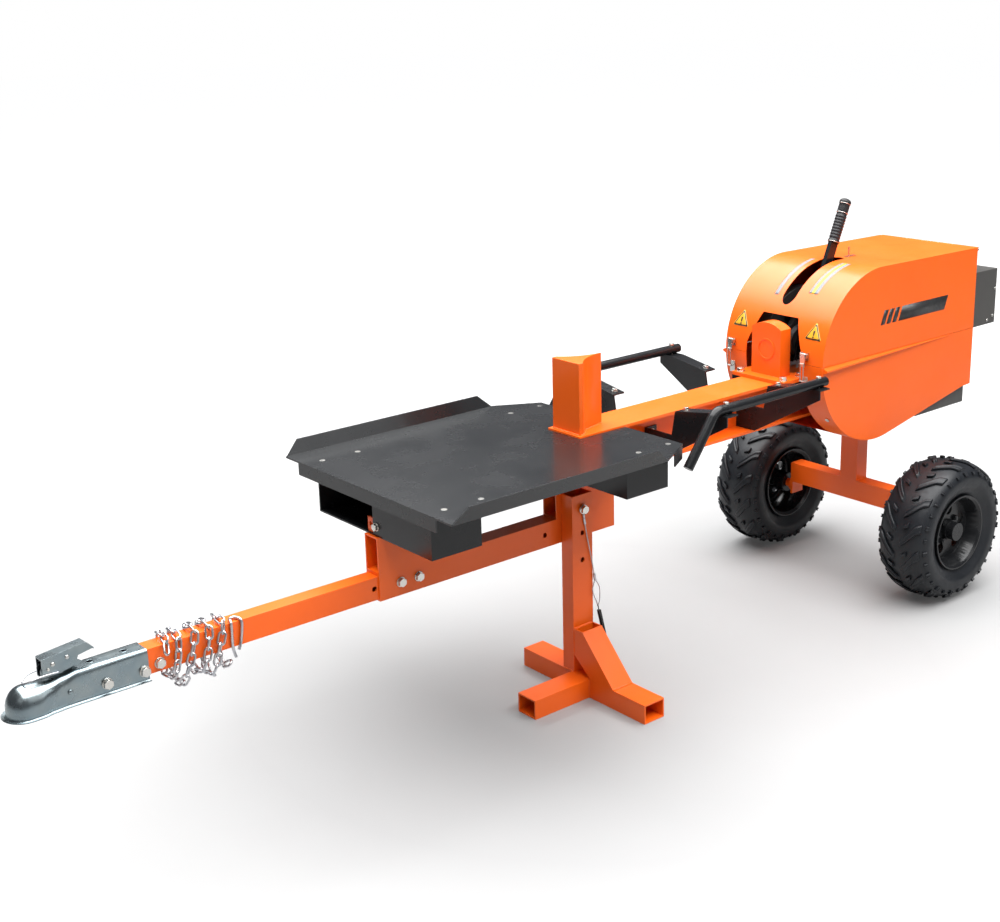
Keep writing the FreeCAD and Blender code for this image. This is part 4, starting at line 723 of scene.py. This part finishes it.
def lug(bm, shape, path, widths, height, groove):
    """Raised rubber bar on the carcass: path is (theta, around) points, widths in degrees."""
    thetas, arounds = zip(*path)
    columns = [(-1.0, -0.3), (-0.80, 1.0), (-0.40, 1.0), (-0.30, 1.0 - groove), (0.30, 1.0 - groove),
               (0.40, 1.0), (0.80, 1.0), (1.0, -0.3)]
    middle = [(step / 10, step / 10) for step in range(1, 10)]
    rows = []
    for share, width_share in [(0, 0), (0.06, 0)] + middle + [(0.94, 1), (1, 1)]:
        theta, around, width = between(thetas, share), between(arounds, share), between(widths, width_share)
        sunk = share in (0, 1)
        row = []
        for across, level in columns:
            lift = -0.3 * TREAD_DEPTH if sunk else level * height
            row.append(shape.point(theta + across * width, around, lift))
        rows.append(ring(bm, row))
    grid_faces(bm, rows)
    bm.faces.new([row[0] for row in rows] + [row[-1] for row in reversed(rows)])
    bm.faces.new(list(reversed(rows[0])))
    bm.faces.new(rows[-1])


def make_tyre(side_name):
    node = "tyre_" + side_name
    shape = TyreShape("wheel_%s_spin" % side_name, node)
    rim_low, rim_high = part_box("rim_" + side_name)
    bm = bmesh.new()
    carcass(bm, shape, (rim_high.z - rim_low.z) / 2 - 0.007)
    pitch = 360 / TREAD_PITCHES
    for step in range(TREAD_PITCHES):
        for side in (-1, 1):
            start = step * pitch + (pitch / 2 if side > 0 else 0)
            for path, widths, share, groove in TREAD_BLOCKS:
                path = [(start + theta, side * around) for theta, around in path]
                lug(bm, shape, path, widths, TREAD_DEPTH * share, groove)
    piece = add_piece(node + "_detail", bm, body_of(node), "tyre_rubber", stands_for=[node])
    weighted_normals(piece)


# ---- tow coupler
def coupler_profile(t):
    """Half width, top height and boxiness along the coupler; t is 0 at the dome and 1 at the rear."""
    stations = [(0.0, 0.0360, 0.0585, 2.0), (0.09, 0.0354, 0.0572, 2.1), (0.19, 0.0300, 0.0556, 2.8),
                (0.30, 0.0273, 0.0590, 4.0), (0.42, 0.0270, 0.0640, 6.0), (1.0, 0.0270, 0.0640, 9.0)]
    for (t0, *a), (t1, *b) in zip(stations, stations[1:]):
        if t <= t1:
            f = (t - t0) / (t1 - t0)
            f = f * f * (3 - 2 * f)
            return [p * (1 - f) + q * f for p, q in zip(a, b)]
    return list(stations[-1][1:])


def make_coupler():
    """Pressed coupler: a smooth shell from its flared lip, round the nose, to the square rear."""
    low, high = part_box("coupler_body")
    lip_w, lip_z, wall_z = 0.0092, low.z + 0.003, 0.0145
    dome_x, rear_x = low.x + 0.045, high.x
    rear_steps, nose_steps = 40, 24
    outline = [(1 - step / rear_steps, -1, 0.0) for step in range(rear_steps)]
    outline += [(0.0, -1, pi * step / nose_steps) for step in range(nose_steps + 1)]
    outline += [(step / rear_steps, 1, 0.0) for step in range(1, rear_steps + 1)]
    lip = ((lip_w, 0.0006), (lip_w + 0.0006, 0.0022), (lip_w * 0.55, 0.0012), (0.003, 0.0006),
           (0.0012, 0.0020), (0.0003, 0.0045))
    bm = bmesh.new()
    rows = []
    for t, side, turn in outline:
        half, top, power = coupler_profile(t)
        spine = Vector((dome_x + t * (rear_x - dome_x), 0, 0))
        out = Vector((-sin(turn), -cos(turn), 0)) if t == 0.0 else Vector((0, side, 0))
        base = spine + out * half
        row = ring(bm, [base + out * push + Z * (lip_z - 0.003 + height) for push, height in lip])
        for step in range(13):
            angle = pi / 2 * step / 12
            inward = 1 - max(cos(angle), 0.0) ** (2 / power)
            rise = sin(angle) ** (2 / power)
            height = wall_z + (top - wall_z) * rise
            row.append(bm.verts.new(base.lerp(spine, inward) + Z * (lip_z + height)))
        rows.append(row)
    grid_faces(bm, rows)
    bmesh.ops.remove_doubles(bm, verts=bm.verts, dist=1e-6)
    bmesh.ops.dissolve_degenerate(bm, edges=bm.edges, dist=1e-7)
    piece = add_piece("coupler_shell", bm, "frame", "zinc", stands_for=["coupler_body"])
    shell = piece.modifiers.new("sheet", "SOLIDIFY")
    shell.thickness = 0.0028
    shell.offset = -1.0
    round_edges(piece, 0.0006, 50.0, 2)
    return low, high


def coupler_trim(low, high):
    """Two holes on the top, each a thin black disc of painted shade inside a pressed rim, and a pin and a
    raised crescent on each side.
    """
    holes, pins, pressings = bmesh.new(), bmesh.new(), bmesh.new()
    hole_r = 0.0062
    rim = [(hole_r, 0), (hole_r, 0.0006), (0.0070, 0.0009), (0.0080, 0.0005), (0.0082, 0)]
    for x in (high.x - 0.112, high.x - 0.040):
        place = Matrix.Translation((x, 0, low.z + 0.067))
        lathe(holes, [(0, 0.00015), (hole_r, 0.00015), (hole_r, 0.0004), (0, 0.0004)], place, 32)
        lathe(pressings, rim, place, 32, True)
    for side in (-1, 1):
        place = axis_place((high.x - 0.168, side * 0.0270, low.z + 0.029), Y * side)
        lathe(pins, [(0, 0), (0.0052, 0), (0.0052, 0.0022), (0.0044, 0.0030), (0, 0.0030)], place, 28)
        path = []
        for step in range(11):
            turn = radians(70 + 14 * step)
            x, z = high.x - 0.190 + 0.010 * cos(turn), low.z + 0.022 + 0.010 * sin(turn)
            path.append(Vector((x, side * 0.0272, z)))
        tube(pressings, path, 0.0022, 10, taper=lambda t: 0.35 + 0.65 * sin(pi * t))
    # The holes are thin discs of matt black, painted shade in place of the dark inside the coupler.
    add_piece("coupler_top_holes", holes, "frame", "black_paint", "hole")
    add_piece("coupler_side_pins", pins, "frame", "zinc")
    add_piece("coupler_pressings", pressings, "frame", "zinc")


def latch_trim():
    """Rivets through the latch's side plates, and the wire bail that runs round its front."""
    low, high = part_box("coupler_latch")
    bm = bmesh.new()
    for dx, dz in ((0.022, 0.020), (0.052, 0.026)):
        for side in (-1, 1):
            place = axis_place((low.x + dx, side * (high.y - 0.0002), low.z + dz), Y * side)
            lathe(bm, [(0, 0), (0.0046, 0), (0.0046, 0.0008), (0.0034, 0.0022), (0, 0.0026)], place, 24)
    add_piece("latch_rivets", bm, "coupler_latch", "bolt_steel")
    bm = bmesh.new()
    bail = ((0.020, 0.0165, -0.010), (-0.010, 0.0170, -0.009), (-0.034, 0.0150, -0.012),
            (-0.046, 0.0070, -0.018), (-0.047, 0, -0.0185))
    for side in (-1, 1):
        points = [PIVOT["coupler_latch_lift"] + Vector((x, side * y, z)) for x, y, z in bail]
        tube(bm, smooth_path(points, 8), 0.0016, 10)
    add_piece("latch_wire", bm, "frame", "bolt_steel", "chain")


# ---- chain
LINK_PITCH, LINK_HALF_W, LINK_WIRE = 0.0232, 0.0074, 0.0025


def chain_link(bm, place):
    """Welded link: a wire stadium, long in local X and wide in local Y."""
    points = []
    half = LINK_PITCH / 2 - LINK_HALF_W + LINK_WIRE
    steps = 24
    for step in range(steps):
        turn = 2 * pi * (step + 0.5) / steps
        end = half if cos(turn) > 0 else -half
        points.append(place @ Vector((end + LINK_HALF_W * cos(turn), LINK_HALF_W * sin(turn), 0)))
    tube(bm, points, LINK_WIRE, 10, closed=True)


def string_links(bm, line):
    """Threads links end to end along a dense line, turned a quarter to each other."""
    travelled, due, count = 0.0, 0.0, 0
    side = Vector((0.2, 0.1, 1)).normalized()
    for a, b in zip(line, line[1:]):
        span = (b - a).length
        while span > 0 and due <= travelled + span:
            point = a.lerp(b, (due - travelled) / span)
            along = (b - a).normalized()
            side = (side - along * side.dot(along)).normalized()
            other = along.cross(side)
            roll = radians(38 if count % 2 else -50) + random.uniform(-0.12, 0.12)
            y_dir = turned(side, other, roll)
            z_dir = along.cross(y_dir)
            place = Matrix((along, y_dir, z_dir)).transposed().to_4x4()
            place.translation = point
            chain_link(bm, place)
            due += LINK_PITCH
            count += 1
        travelled += span


def make_chain():
    """Safety chain wound in loose turns round the drawbar, in two bundles, with its hook."""
    tube_low, tube_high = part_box("tongue_tube")
    chain_low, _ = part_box("safety_chain")
    half_y, top_z, low_z = (tube_high.y - tube_low.y) / 2, tube_high.z, tube_low.z
    clear = LINK_HALF_W + 0.0005
    bolt_x = chain_low.x - 0.012
    turns = ((0.014, 0.012), (0.042, 0.034), (0.078, 0.020), (0.112, 0.036), (0.144, 0.028))
    points = []
    for index, (along, sag) in enumerate(turns):
        x = bolt_x + along
        lean = 0.007 if index % 2 else 0.012
        wide = 0.010 * random.random()
        points += [
            (x - lean, -half_y - clear - 0.003, low_z + 0.012), (x, -half_y - clear, top_z - 0.006),
            (x + lean * 0.4, -half_y + 0.004, top_z + clear), (x + lean * 0.6, half_y - 0.004, top_z + clear),
            (x + lean, half_y + clear, top_z - 0.008), (x + lean, half_y + clear + 0.003, low_z + 0.008),
            (x + lean, half_y - 0.002 + wide, low_z - sag * 0.8), (x + lean * 0.8, 0, low_z - sag - 0.012),
            (x + lean * 1.2, -half_y - 0.004 - wide, low_z - sag)]
    bm = bmesh.new()
    string_links(bm, smooth_path(points[1:], 14))
    add_piece("safety_chain_links", bm, "frame", "zinc", "chain", ["safety_chain"])
    hook_x = bolt_x + 0.166
    front, rear = hook_x, hook_x + 0.022
    face = -half_y - 0.0045
    hook = [
        (front + 0.004, face - 0.004, low_z - 0.020), (front, face, low_z + 0.004),
        (front, face, top_z - 0.008), (front + 0.001, face + 0.003, top_z + 0.003),
        (front + 0.006, -half_y + 0.012, top_z + 0.0045),
        (rear - 0.004, -half_y + 0.014, top_z + 0.0045), (rear + 0.002, face + 0.004, top_z + 0.003),
        (rear + 0.003, face, top_z - 0.010), (rear - 0.002, face, low_z + 0.010),
        (rear - 0.010, face - 0.003, low_z - 0.006)]
    bm = bmesh.new()
    tube(bm, smooth_path(hook, 8), 0.0033, 14)
    add_piece("chain_hook", bm, "frame", "zinc", "chain")


# ---- stand cable and spring
def make_cable():
    """Steel cable held tight between its eyelet and its crimped sleeve: twisted strands on one line."""
    low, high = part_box("stand_cable")
    radius = 0.0015
    width = high.x - low.x
    route = [
        (low.x + radius, high.y - radius, high.z), (low.x + 0.35 * width, high.y - 0.002, high.z - 0.056),
        (low.x + 0.68 * width, high.y - 0.0028, high.z - 0.105), (high.x - radius, low.y + radius, low.z)]
    curve = bpy.data.curves.new("cable_route", "CURVE")
    curve.dimensions = "3D"
    spline = curve.splines.new("NURBS")
    spline.points.add(len(route) - 1)
    for place, point in zip(spline.points, route):
        place.co = (*point, 1)
    spline.order_u = 3
    spline.use_endpoint_u = True
    spline.resolution_u = 24
    holder = bpy.data.objects.new("cable_route", curve)
    sampled = bpy.data.meshes.new_from_object(holder)
    line = [v.co.copy() for v in sampled.vertices]
    bpy.data.objects.remove(holder)
    bm = bmesh.new()
    strands, strand_r, lay = 6, radius * 0.36, 0.014
    side, other = across_axes((line[-1] - line[0]).normalized())
    dense = smooth_path(line[::4] + ([line[-1]] if (len(line) - 1) % 4 else []), 6)
    for strand in range(strands):
        path, travelled = [], 0.0
        for i, point in enumerate(dense):
            if i:
                travelled += (point - dense[i - 1]).length
            turn = 2 * pi * (travelled / lay + strand / strands)
            path.append(point + turned(side, other, turn) * radius * 0.64)
        tube(bm, path, strand_r, 6)
    tube(bm, dense, radius * 0.45, 8)
    piece = add_piece("stand_cable_strands", bm, "stand", "bolt_steel", "chain", ["stand_cable"])
    fittings, hook_top = make_cable_fittings(dense)
    return hook_top


def make_cable_fittings(line):
    """Eyelet with its crimp at the top, crimped sleeve and teardrop loop below."""
    pivot = PIVOT["stand_fold"]
    spring_low, spring_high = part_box("stand_spring")
    post_low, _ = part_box("stand_post")
    eye_y = post_low.y - 0.0030
    bm = bmesh.new()
    washer(bm, axis_place((pivot.x, eye_y - 0.0013, pivot.z), Y), 0.0115, 0.0065, 0, 0.0026)
    start, end = line[0], line[-1]
    along = (end - start).normalized()
    neck = [Vector((pivot.x + 0.001, eye_y, pivot.z - 0.010)), start + along * 0.001]
    tube(bm, neck, 0.0030, 14)
    crimp(bm, start - along * 0.002, start + along * 0.016, 0.0033)
    crimp(bm, end - along * 0.004, end + along * 0.014, 0.0036)
    crimps = add_piece("cable_crimps", bm, "stand", "zinc", "chain", ["cable_fittings"])
    foot = end + along * 0.013
    spring_y = (spring_low.y + spring_high.y) / 2
    hook_top = Vector((spring_high.x - 0.004, spring_y + 0.014, spring_high.z - 0.001))
    near_side = ((0, 0), (-0.004, -0.008), (-0.0085, -0.024), (-0.006, -0.038))
    loop = [foot + Vector((x, 0, z)) for x, z in near_side]
    loop += [hook_top + Vector((x, 0, z)) for x, z in ((-0.004, 0.010), (0, 0), (0.006, 0.010))]
    loop += [foot + Vector((x, 0, z)) for x, z in ((0.016, -0.034), (0.012, -0.018), (0.004, -0.006))]
    bm = bmesh.new()
    tube(bm, smooth_path(loop, 8, True), 0.0013, 10, closed=True)
    add_piece("cable_loop", bm, "stand", "zinc", "chain")
    return crimps, hook_top


def crimp(bm, start, end, radius):
    """Pressed sleeve with three waists."""
    length = (end - start).length
    profile = [(0, 0), (radius * 0.7, 0), (radius, length * 0.06)]
    for step in range(1, 4):
        middle, reach = length * step / 4, length * 0.07
        profile += [(radius, middle - reach), (radius * 0.86, middle), (radius, middle + reach)]
    profile += [(radius, length * 0.94), (radius * 0.7, length), (0, length)]
    lathe(bm, profile, axis_place(start, end - start), 20)


def make_spring(hook_top):
    """Black tension spring: a close-wound coil with a hook at each end."""
    low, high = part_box("stand_spring")
    bottom = Vector((high.x - 0.003, low.y + 0.003, low.z + 0.002))
    axis = (bottom - hook_top).normalized()
    side, other = across_axes(axis)
    wire, coil_r, hooks = 0.0013, 0.0045, 0.012
    start, end = hook_top + axis * hooks, bottom - axis * hooks
    turns = int((end - start).length / (wire * 2.15))
    path = [hook_top + axis * 0.001 + side * 0.003, hook_top - axis * 0.0015,
            hook_top + axis * 0.001 - side * 0.003, hook_top + axis * 0.007 - side * 0.001]
    per_turn = 12
    for step in range(turns * per_turn + 1):
        turn = 2 * pi * step / per_turn
        along = start.lerp(end, step / (turns * per_turn))
        path.append(along + turned(side, other, turn) * coil_r)
    path += [bottom - axis * 0.007 - side * 0.001, bottom - axis * 0.001 - side * 0.003,
             bottom + axis * 0.0015, bottom - axis * 0.001 + side * 0.003]
    bm = bmesh.new()
    tube(bm, path, wire, 8)
    add_piece("stand_spring_coil", bm, "stand", "black_paint", stands_for=["stand_spring"])


# ---- grip
def make_grip():
    """Rubber grip on the lever: finger ribs, two smooth bands and a domed end."""
    low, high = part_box("lever_grip")
    pivot = PIVOT["lever_swing"]
    centre = (low + high) / 2
    reach = Vector((centre.x - pivot.x, 0, centre.z - pivot.z))
    axis = reach.normalized()
    radius, length = 0.0155, 0.130
    ribs = [(0.86, 0), (1.04, 0.002), (1.04, 0.008), (0.93, 0.011)]
    height = 0.014
    while height < length * 0.62:
        ribs += [(0.93, height), (1.0, height + 0.0015), (1.0, height + 0.0055), (0.93, height + 0.007)]
        height += 0.0085
    for share, along in ((0.93, 0.66), (0.97, 0.70), (0.99, 0.80), (0.96, 0.86), (1.05, 0.89), (1.05, 0.93)):
        ribs.append((share, length * along))
    profile = [(0, 0.0005), (0.0075, 0)] + [(radius * share, height) for share, height in ribs]
    for step in range(1, 7):
        turn = radians(15 * step)
        profile.append((radius * 1.03 * cos(turn), length * 0.93 + length * 0.07 * sin(turn)))
    profile[-1] = (0, length)
    bm = bmesh.new()
    start = pivot + axis * reach.length - axis * (length / 2)
    lathe(bm, profile, axis_place(start, axis), 40)
    add_piece("lever_grip_detail", bm, "lever", "black_rubber", stands_for=["lever_grip"])
    bm = bmesh.new()
    inner, outer = radius * 0.9, radius * 1.06
    for share in (0.025, 0.675, 0.88):
        place = axis_place(start + axis * (length * share), axis)
        lathe(bm, [(inner, 0), (outer, 0.0002), (outer, 0.0014), (inner, 0.0016)], place, 40, True)
    add_piece("grip_rings", bm, "lever", "bolt_steel")


# ---- trim on the housing
HOOD_RADIUS = 0.245
TAPE, INK = 0.0004, 0.0003


class HoodArc:
    """The hood's round front as a surface that trim can lie on."""

    def __init__(self):
        low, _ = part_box("lower_housing")
        heights = [v.co.z for v in frame["nodes"]["hood"].data.vertices if abs(v.co.y) > 0.17]
        self.radius = HOOD_RADIUS
        self.centre = Vector((low.x + self.radius, 0, max(heights) - self.radius))

    def point(self, angle, y, lift=0.0):
        turn = radians(angle)
        reach = self.radius + lift
        return Vector((self.centre.x - reach * cos(turn), y, self.centre.z + reach * sin(turn)))


def curved_patch(bm, arc, angles, y_span):
    """Strip of tape lying on the hood's arc between two angles and two Y values."""
    columns = 4
    steps = max(int(abs(angles[1] - angles[0]) / 1.5), 2)
    layers = []
    for level in (TAPE, 0.0):
        layer = []
        for step in range(steps + 1):
            angle = angles[0] + (angles[1] - angles[0]) * step / steps
            across = [y_span[0] + (y_span[1] - y_span[0]) * column / columns for column in range(columns + 1)]
            layer.append(ring(bm, [arc.point(angle, y, level) for y in across]))
        layers.append(layer)
    top, bottom = layers
    grid_faces(bm, top)
    grid_faces(bm, [row[::-1] for row in bottom])

    def rim(layer):
        ends, starts = [row[-1] for row in layer[1:-1]], [row[0] for row in layer[-2:0:-1]]
        return layer[0] + ends + layer[-1][::-1] + starts

    grid_faces(bm, [rim(top), rim(bottom)], wrap_columns=True)


def reflective_strips(arc):
    """Reflective tape on both sides of the lever's slot."""
    for name, spans, material in (
            ("tape_grey", ((-0.0855, -0.0735), (-0.0635, -0.0555), (0.0395, 0.0525)), "tape"),
            ("tape_yellow", ((-0.0735, -0.0635),), "tape_yellow")):
        bm = bmesh.new()
        for span in spans:
            angles = (47, 84) if span[0] < 0 else (42, 84)
            curved_patch(bm, arc, angles, span)
        add_piece(name, bm, "hood", "grey_paint", material)


def hazard_outline(size, corner):
    """Round-cornered triangle, point up, as (across, up) points."""
    points = []
    for tip in (radians(90 + 120 * k) for k in range(3)):
        centre = Vector((cos(tip), sin(tip))) * (size - 2 * corner)
        for step in range(7):
            turn = tip - pi / 3 + (2 * pi / 3) * step / 6
            points.append(centre + Vector((cos(turn), sin(turn))) * corner)
    return points


def arc_plate(bm, arc, outline, middle, lift):
    """Thin plate cut to an outline and laid on the hood's arc; middle is (angle, y)."""
    edge = []
    for start, end in zip(outline, outline[1:] + outline[:1]):
        steps = max(ceil((end - start).length / 0.004), 1)
        edge += [start.lerp(end, i / steps) for i in range(steps)]
    heart = sum(outline, Vector((0, 0))) / len(outline)
    shares = (0.2, 0.4, 0.6, 0.8, 1.0)
    rows = []
    for share, level in [(f, lift) for f in shares] + [(f, lift - INK) for f in reversed(shares)]:
        row = []
        for point in edge:
            across, up = heart.lerp(point, share)
            angle = middle[0] + degrees(up / arc.radius)
            row.append(arc.point(angle, middle[1] + across, level))
        rows.append(ring(bm, row))
    grid_faces(bm, rows, wrap_columns=True)
    bm.faces.new(rows[0])
    bm.faces.new(rows[-1])


def hazard_signs(arc):
    """Plain warning triangles: yellow edge, black border, yellow field, plain bar and dot."""
    field, border = bmesh.new(), bmesh.new()
    bar = [Vector(p) for p in ((-0.0030, 0.0095), (0.0030, 0.0095), (0.0018, -0.0040), (-0.0018, -0.0040))]
    turns = [radians(30 * step) for step in range(12)]
    dot = [Vector((0.0027 * cos(turn), -0.0085 + 0.0027 * sin(turn))) for turn in turns]
    for y in (-0.128, 0.128):
        middle = (20.5, y)
        arc_plate(field, arc, hazard_outline(0.0335, 0.0034), middle, 0.0005)
        arc_plate(border, arc, hazard_outline(0.0308, 0.0030), middle, 0.0008)
        arc_plate(field, arc, hazard_outline(0.0242, 0.0022), middle, 0.0011)
        arc_plate(border, arc, bar, middle, 0.0014)
        arc_plate(border, arc, dot, middle, 0.0014)
    add_piece("hazard_field", field, "hood", "orange_paint", "ink_yellow")
    add_piece("hazard_marks", border, "hood", "black_paint", "ink_black")


def side_stripes():
    """Plain slanted bars on both cheeks of the hood, with one long bar behind them."""
    low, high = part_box("hood")
    side_y = (high.y - low.y) / 2
    bm = bmesh.new()
    base_x, base_z, tall, slant = low.x + 0.245, low.z + 0.078, 0.040, 0.016
    bars = [(0.000, 0.018), (0.026, 0.018), (0.052, 0.018), (0.080, 0.215)]
    for side in (-1, 1):
        for start, width in bars:
            x0 = base_x + start
            outline = [(x0, 0), (x0 + width, 0), (x0 + width + slant, tall), (x0 + slant, tall)]
            faces = []
            for level in (0.00005, 0.00045):
                faces.append(ring(bm, [(x, side * (side_y + level), base_z + z) for x, z in outline]))
            bm.faces.new(faces[0])
            bm.faces.new(faces[1])
            grid_faces(bm, faces, wrap_columns=True)
    add_piece("side_bars", bm, "hood", "black_paint", "ink_black")


# ---- welds
RIPPLE, RIPPLE_STEP = 0.0042, 0.0007


def weld_bead(bm, start, end, radius=0.0032):
    """Row of overlapping weld ripples between two points, thinner at its ends."""
    start, end = Vector(start), Vector(end)
    length = (end - start).length
    count = max(int(length / RIPPLE_STEP), 4)

    def swell(t):
        ripple = 0.80 + 0.2 * abs(sin(pi * t * length / RIPPLE))
        return ripple * min(1, 12 * t + 0.4, 12 - 12 * t + 0.4)

    tube(bm, [start.lerp(end, i / count) for i in range(count + 1)], radius, 8, taper=swell)


def frame_welds():
    """Welds at the risers, wedge and axle post."""
    bm = bmesh.new()
    low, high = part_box("axle_post")
    for y in (-0.030, 0.030):
        weld_bead(bm, (low.x, y, low.z), (high.x, y, low.z))
    for x in (low.x, high.x):
        weld_bead(bm, (x, -0.026, high.z - 0.008), (x, 0.026, high.z - 0.008), 0.0025)
    receiver_low, receiver_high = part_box("receiver_tube")
    for points in islands("risers"):
        low, high = corners(points)
        for y in (low.y + 0.0021, high.y):
            weld_bead(bm, (low.x + 0.003, y, low.z), (high.x - 0.003, y, low.z), 0.0024)
        for x in (low.x, high.x):
            if receiver_low.x + 0.01 < x < receiver_high.x - 0.01:
                weld_bead(bm, (x, low.y + 0.004, low.z), (x, high.y - 0.004, low.z), 0.0028)
    low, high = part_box("wedge")
    weld_bead(bm, (low.x, low.y + 0.002, low.z), (low.x, high.y - 0.002, low.z))
    for side in (-1, 1):
        y = side * (high.y + 0.0002)
        weld_bead(bm, (low.x + 0.003, y, low.z), (low.x + 0.013, y, low.z), 0.0026)
        curve = [(low.x + 0.016, side * 0.0470), (low.x + 0.048, side * 0.0205),
                 (high.x - 0.003, side * 0.0030)]
        for (x0, y0), (x1, y1) in zip(curve, curve[1:]):
            weld_bead(bm, (x0, y0, low.z), (x1, y1, low.z), 0.0024)
    add_piece("frame_welds", bm, "frame", "orange_paint")


def stand_welds():
    """Welds between the prop stand's post, its foot and its brace."""
    bm = bmesh.new()
    low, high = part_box("stand_post")
    _, base_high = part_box("stand_base")
    foot_top, brace_top, brace_y = low.z, base_high.z, low.y - 0.142
    for x in (low.x, high.x):
        weld_bead(bm, (x, low.y + 0.003, foot_top), (x, high.y - 0.003, foot_top), 0.0026)
    weld_bead(bm, (low.x, brace_y, foot_top), (high.x, brace_y, foot_top), 0.0034)
    weld_bead(bm, (low.x + 0.003, low.y, brace_top), (high.x - 0.003, low.y, brace_top), 0.003)
    for x in (low.x, high.x):
        weld_bead(bm, (x, low.y, foot_top + 0.052), (x, low.y, brace_top - 0.002), 0.0022)
    for y in (-0.058, -0.122):
        weld_bead(bm, (low.x, y, 0.003), (low.x, y, foot_top - 0.003), 0.0024)
    add_piece("stand_welds", bm, "stand", "orange_paint")


# ---- scene
def make_camera():
    """Camera at the viewing angle of a person in front of the machine's near corner."""
    yaw, pitch, roll = (radians(a) for a in (39.01, -15.82, -1.52))
    ahead = Vector((sin(yaw) * cos(pitch), cos(yaw) * cos(pitch), sin(pitch)))
    level = Vector((cos(yaw), -sin(yaw), 0))
    up = level.cross(ahead)
    right = level * cos(roll) + up * sin(roll)
    over = up * cos(roll) - level * sin(roll)
    data = bpy.data.cameras.new("camera")
    data.sensor_width = 36.0
    data.lens = 53.98
    data.shift_x, data.shift_y = -0.001, -0.0508
    data.clip_end = 100
    camera = add_object("camera", data)
    turn = Matrix((right, over, -ahead)).transposed()
    camera.matrix_world = Matrix.Translation((-2.4104, -2.6454, 1.7195)) @ turn.to_4x4()
    bpy.context.scene.camera = camera


def area_light(name, place, aim, size, power):
    data = bpy.data.lights.new(name, "AREA")
    data.shape = "RECTANGLE"
    data.size, data.size_y = size
    data.energy = power
    light = add_object(name, data)
    light.matrix_world = axis_place(Vector(place), Vector(place) - Vector(aim))


def backdrop_material():
    """Pale floor that brightens with distance, as a lit sweep does."""
    s = Shader("floor", (0.30, 0.30, 0.30), 0.0, 0.8)
    s.mottled(1.5, (0.295, 0.295, 0.295), (0.305, 0.305, 0.305))
    away = s.node("ShaderNodeVectorMath", operation="LENGTH")
    s.link(s.coords, away.inputs[0])
    seen = s.node("ShaderNodeMath", operation="MULTIPLY")
    s.link(s.spread(away.outputs["Value"], 0.9, 4.5, 0.0, 0.95), seen.inputs[0])
    s.link(s.node("ShaderNodeLightPath").outputs["Is Camera Ray"], seen.inputs[1])
    s.put("Emission Color", (1, 1, 1, 1))
    s.link(seen.outputs["Value"], s.bsdf.inputs["Emission Strength"])
    return s.material


def make_studio():
    """Pale floor, pale surroundings and soft lights from above and from the front."""
    bm = bmesh.new()
    bmesh.ops.create_grid(bm, x_segments=2, y_segments=2, size=30.0)
    mesh = bpy.data.meshes.new("floor")
    bm.to_mesh(mesh)
    bm.free()
    floor = add_object("floor", mesh)
    mesh.materials.append(backdrop_material())
    world = bpy.data.worlds.new("studio")
    world.use_nodes = True
    nodes, links = world.node_tree.nodes, world.node_tree.links
    background = nodes["Background"]
    background.inputs["Strength"].default_value = 1.0
    path, mix = nodes.new("ShaderNodeLightPath"), nodes.new("ShaderNodeMix")
    mix.data_type = "RGBA"
    mix.inputs[6].default_value = (0.13, 0.13, 0.14, 1)
    mix.inputs[7].default_value = (1, 1, 1, 1)
    links.new(path.outputs["Is Camera Ray"], mix.inputs[0])
    links.new(mix.outputs[2], background.inputs["Color"])
    bpy.context.scene.world = world
    area_light("top", (0.3, 0.0, 4.4), (0.1, 0, 0.6), (8.0, 6.0), 1200)
    area_light("near", (1.6, -4.4, 2.4), (0.9, 0, 0.7), (2.6, 1.4), 27)
    area_light("front", (-3.6, -2.2, 2.6), (0.2, 0, 0.6), (2.0, 1.6), 5)
    area_light("back", (1.5, 4.8, 3.4), (0.4, 0, 0.7), (3.0, 1.0), 10)
    bpy.context.scene.view_settings.view_transform = "Standard"


make_camera()
make_studio()
for name in ("frame_bolts", "ram_bolts", "stand_bolt", "coupler_bolts"):
    make_bolts(name)
make_arm_bolts()
for name in ("near", "far"):
    make_tyre(name)
coupler_trim(*make_coupler())
latch_trim()
make_chain()
make_spring(make_cable())
make_grip()
hood_arc = HoodArc()
reflective_strips(hood_arc)
hazard_signs(hood_arc)
side_stripes()
frame_welds()
stand_welds()
widths = {name: width for width, names in BEVELS.items() for name in names}
for name in frame["nodes"]:
    if name not in replaced:
        finish_node(name, widths.get(name, BEVEL))
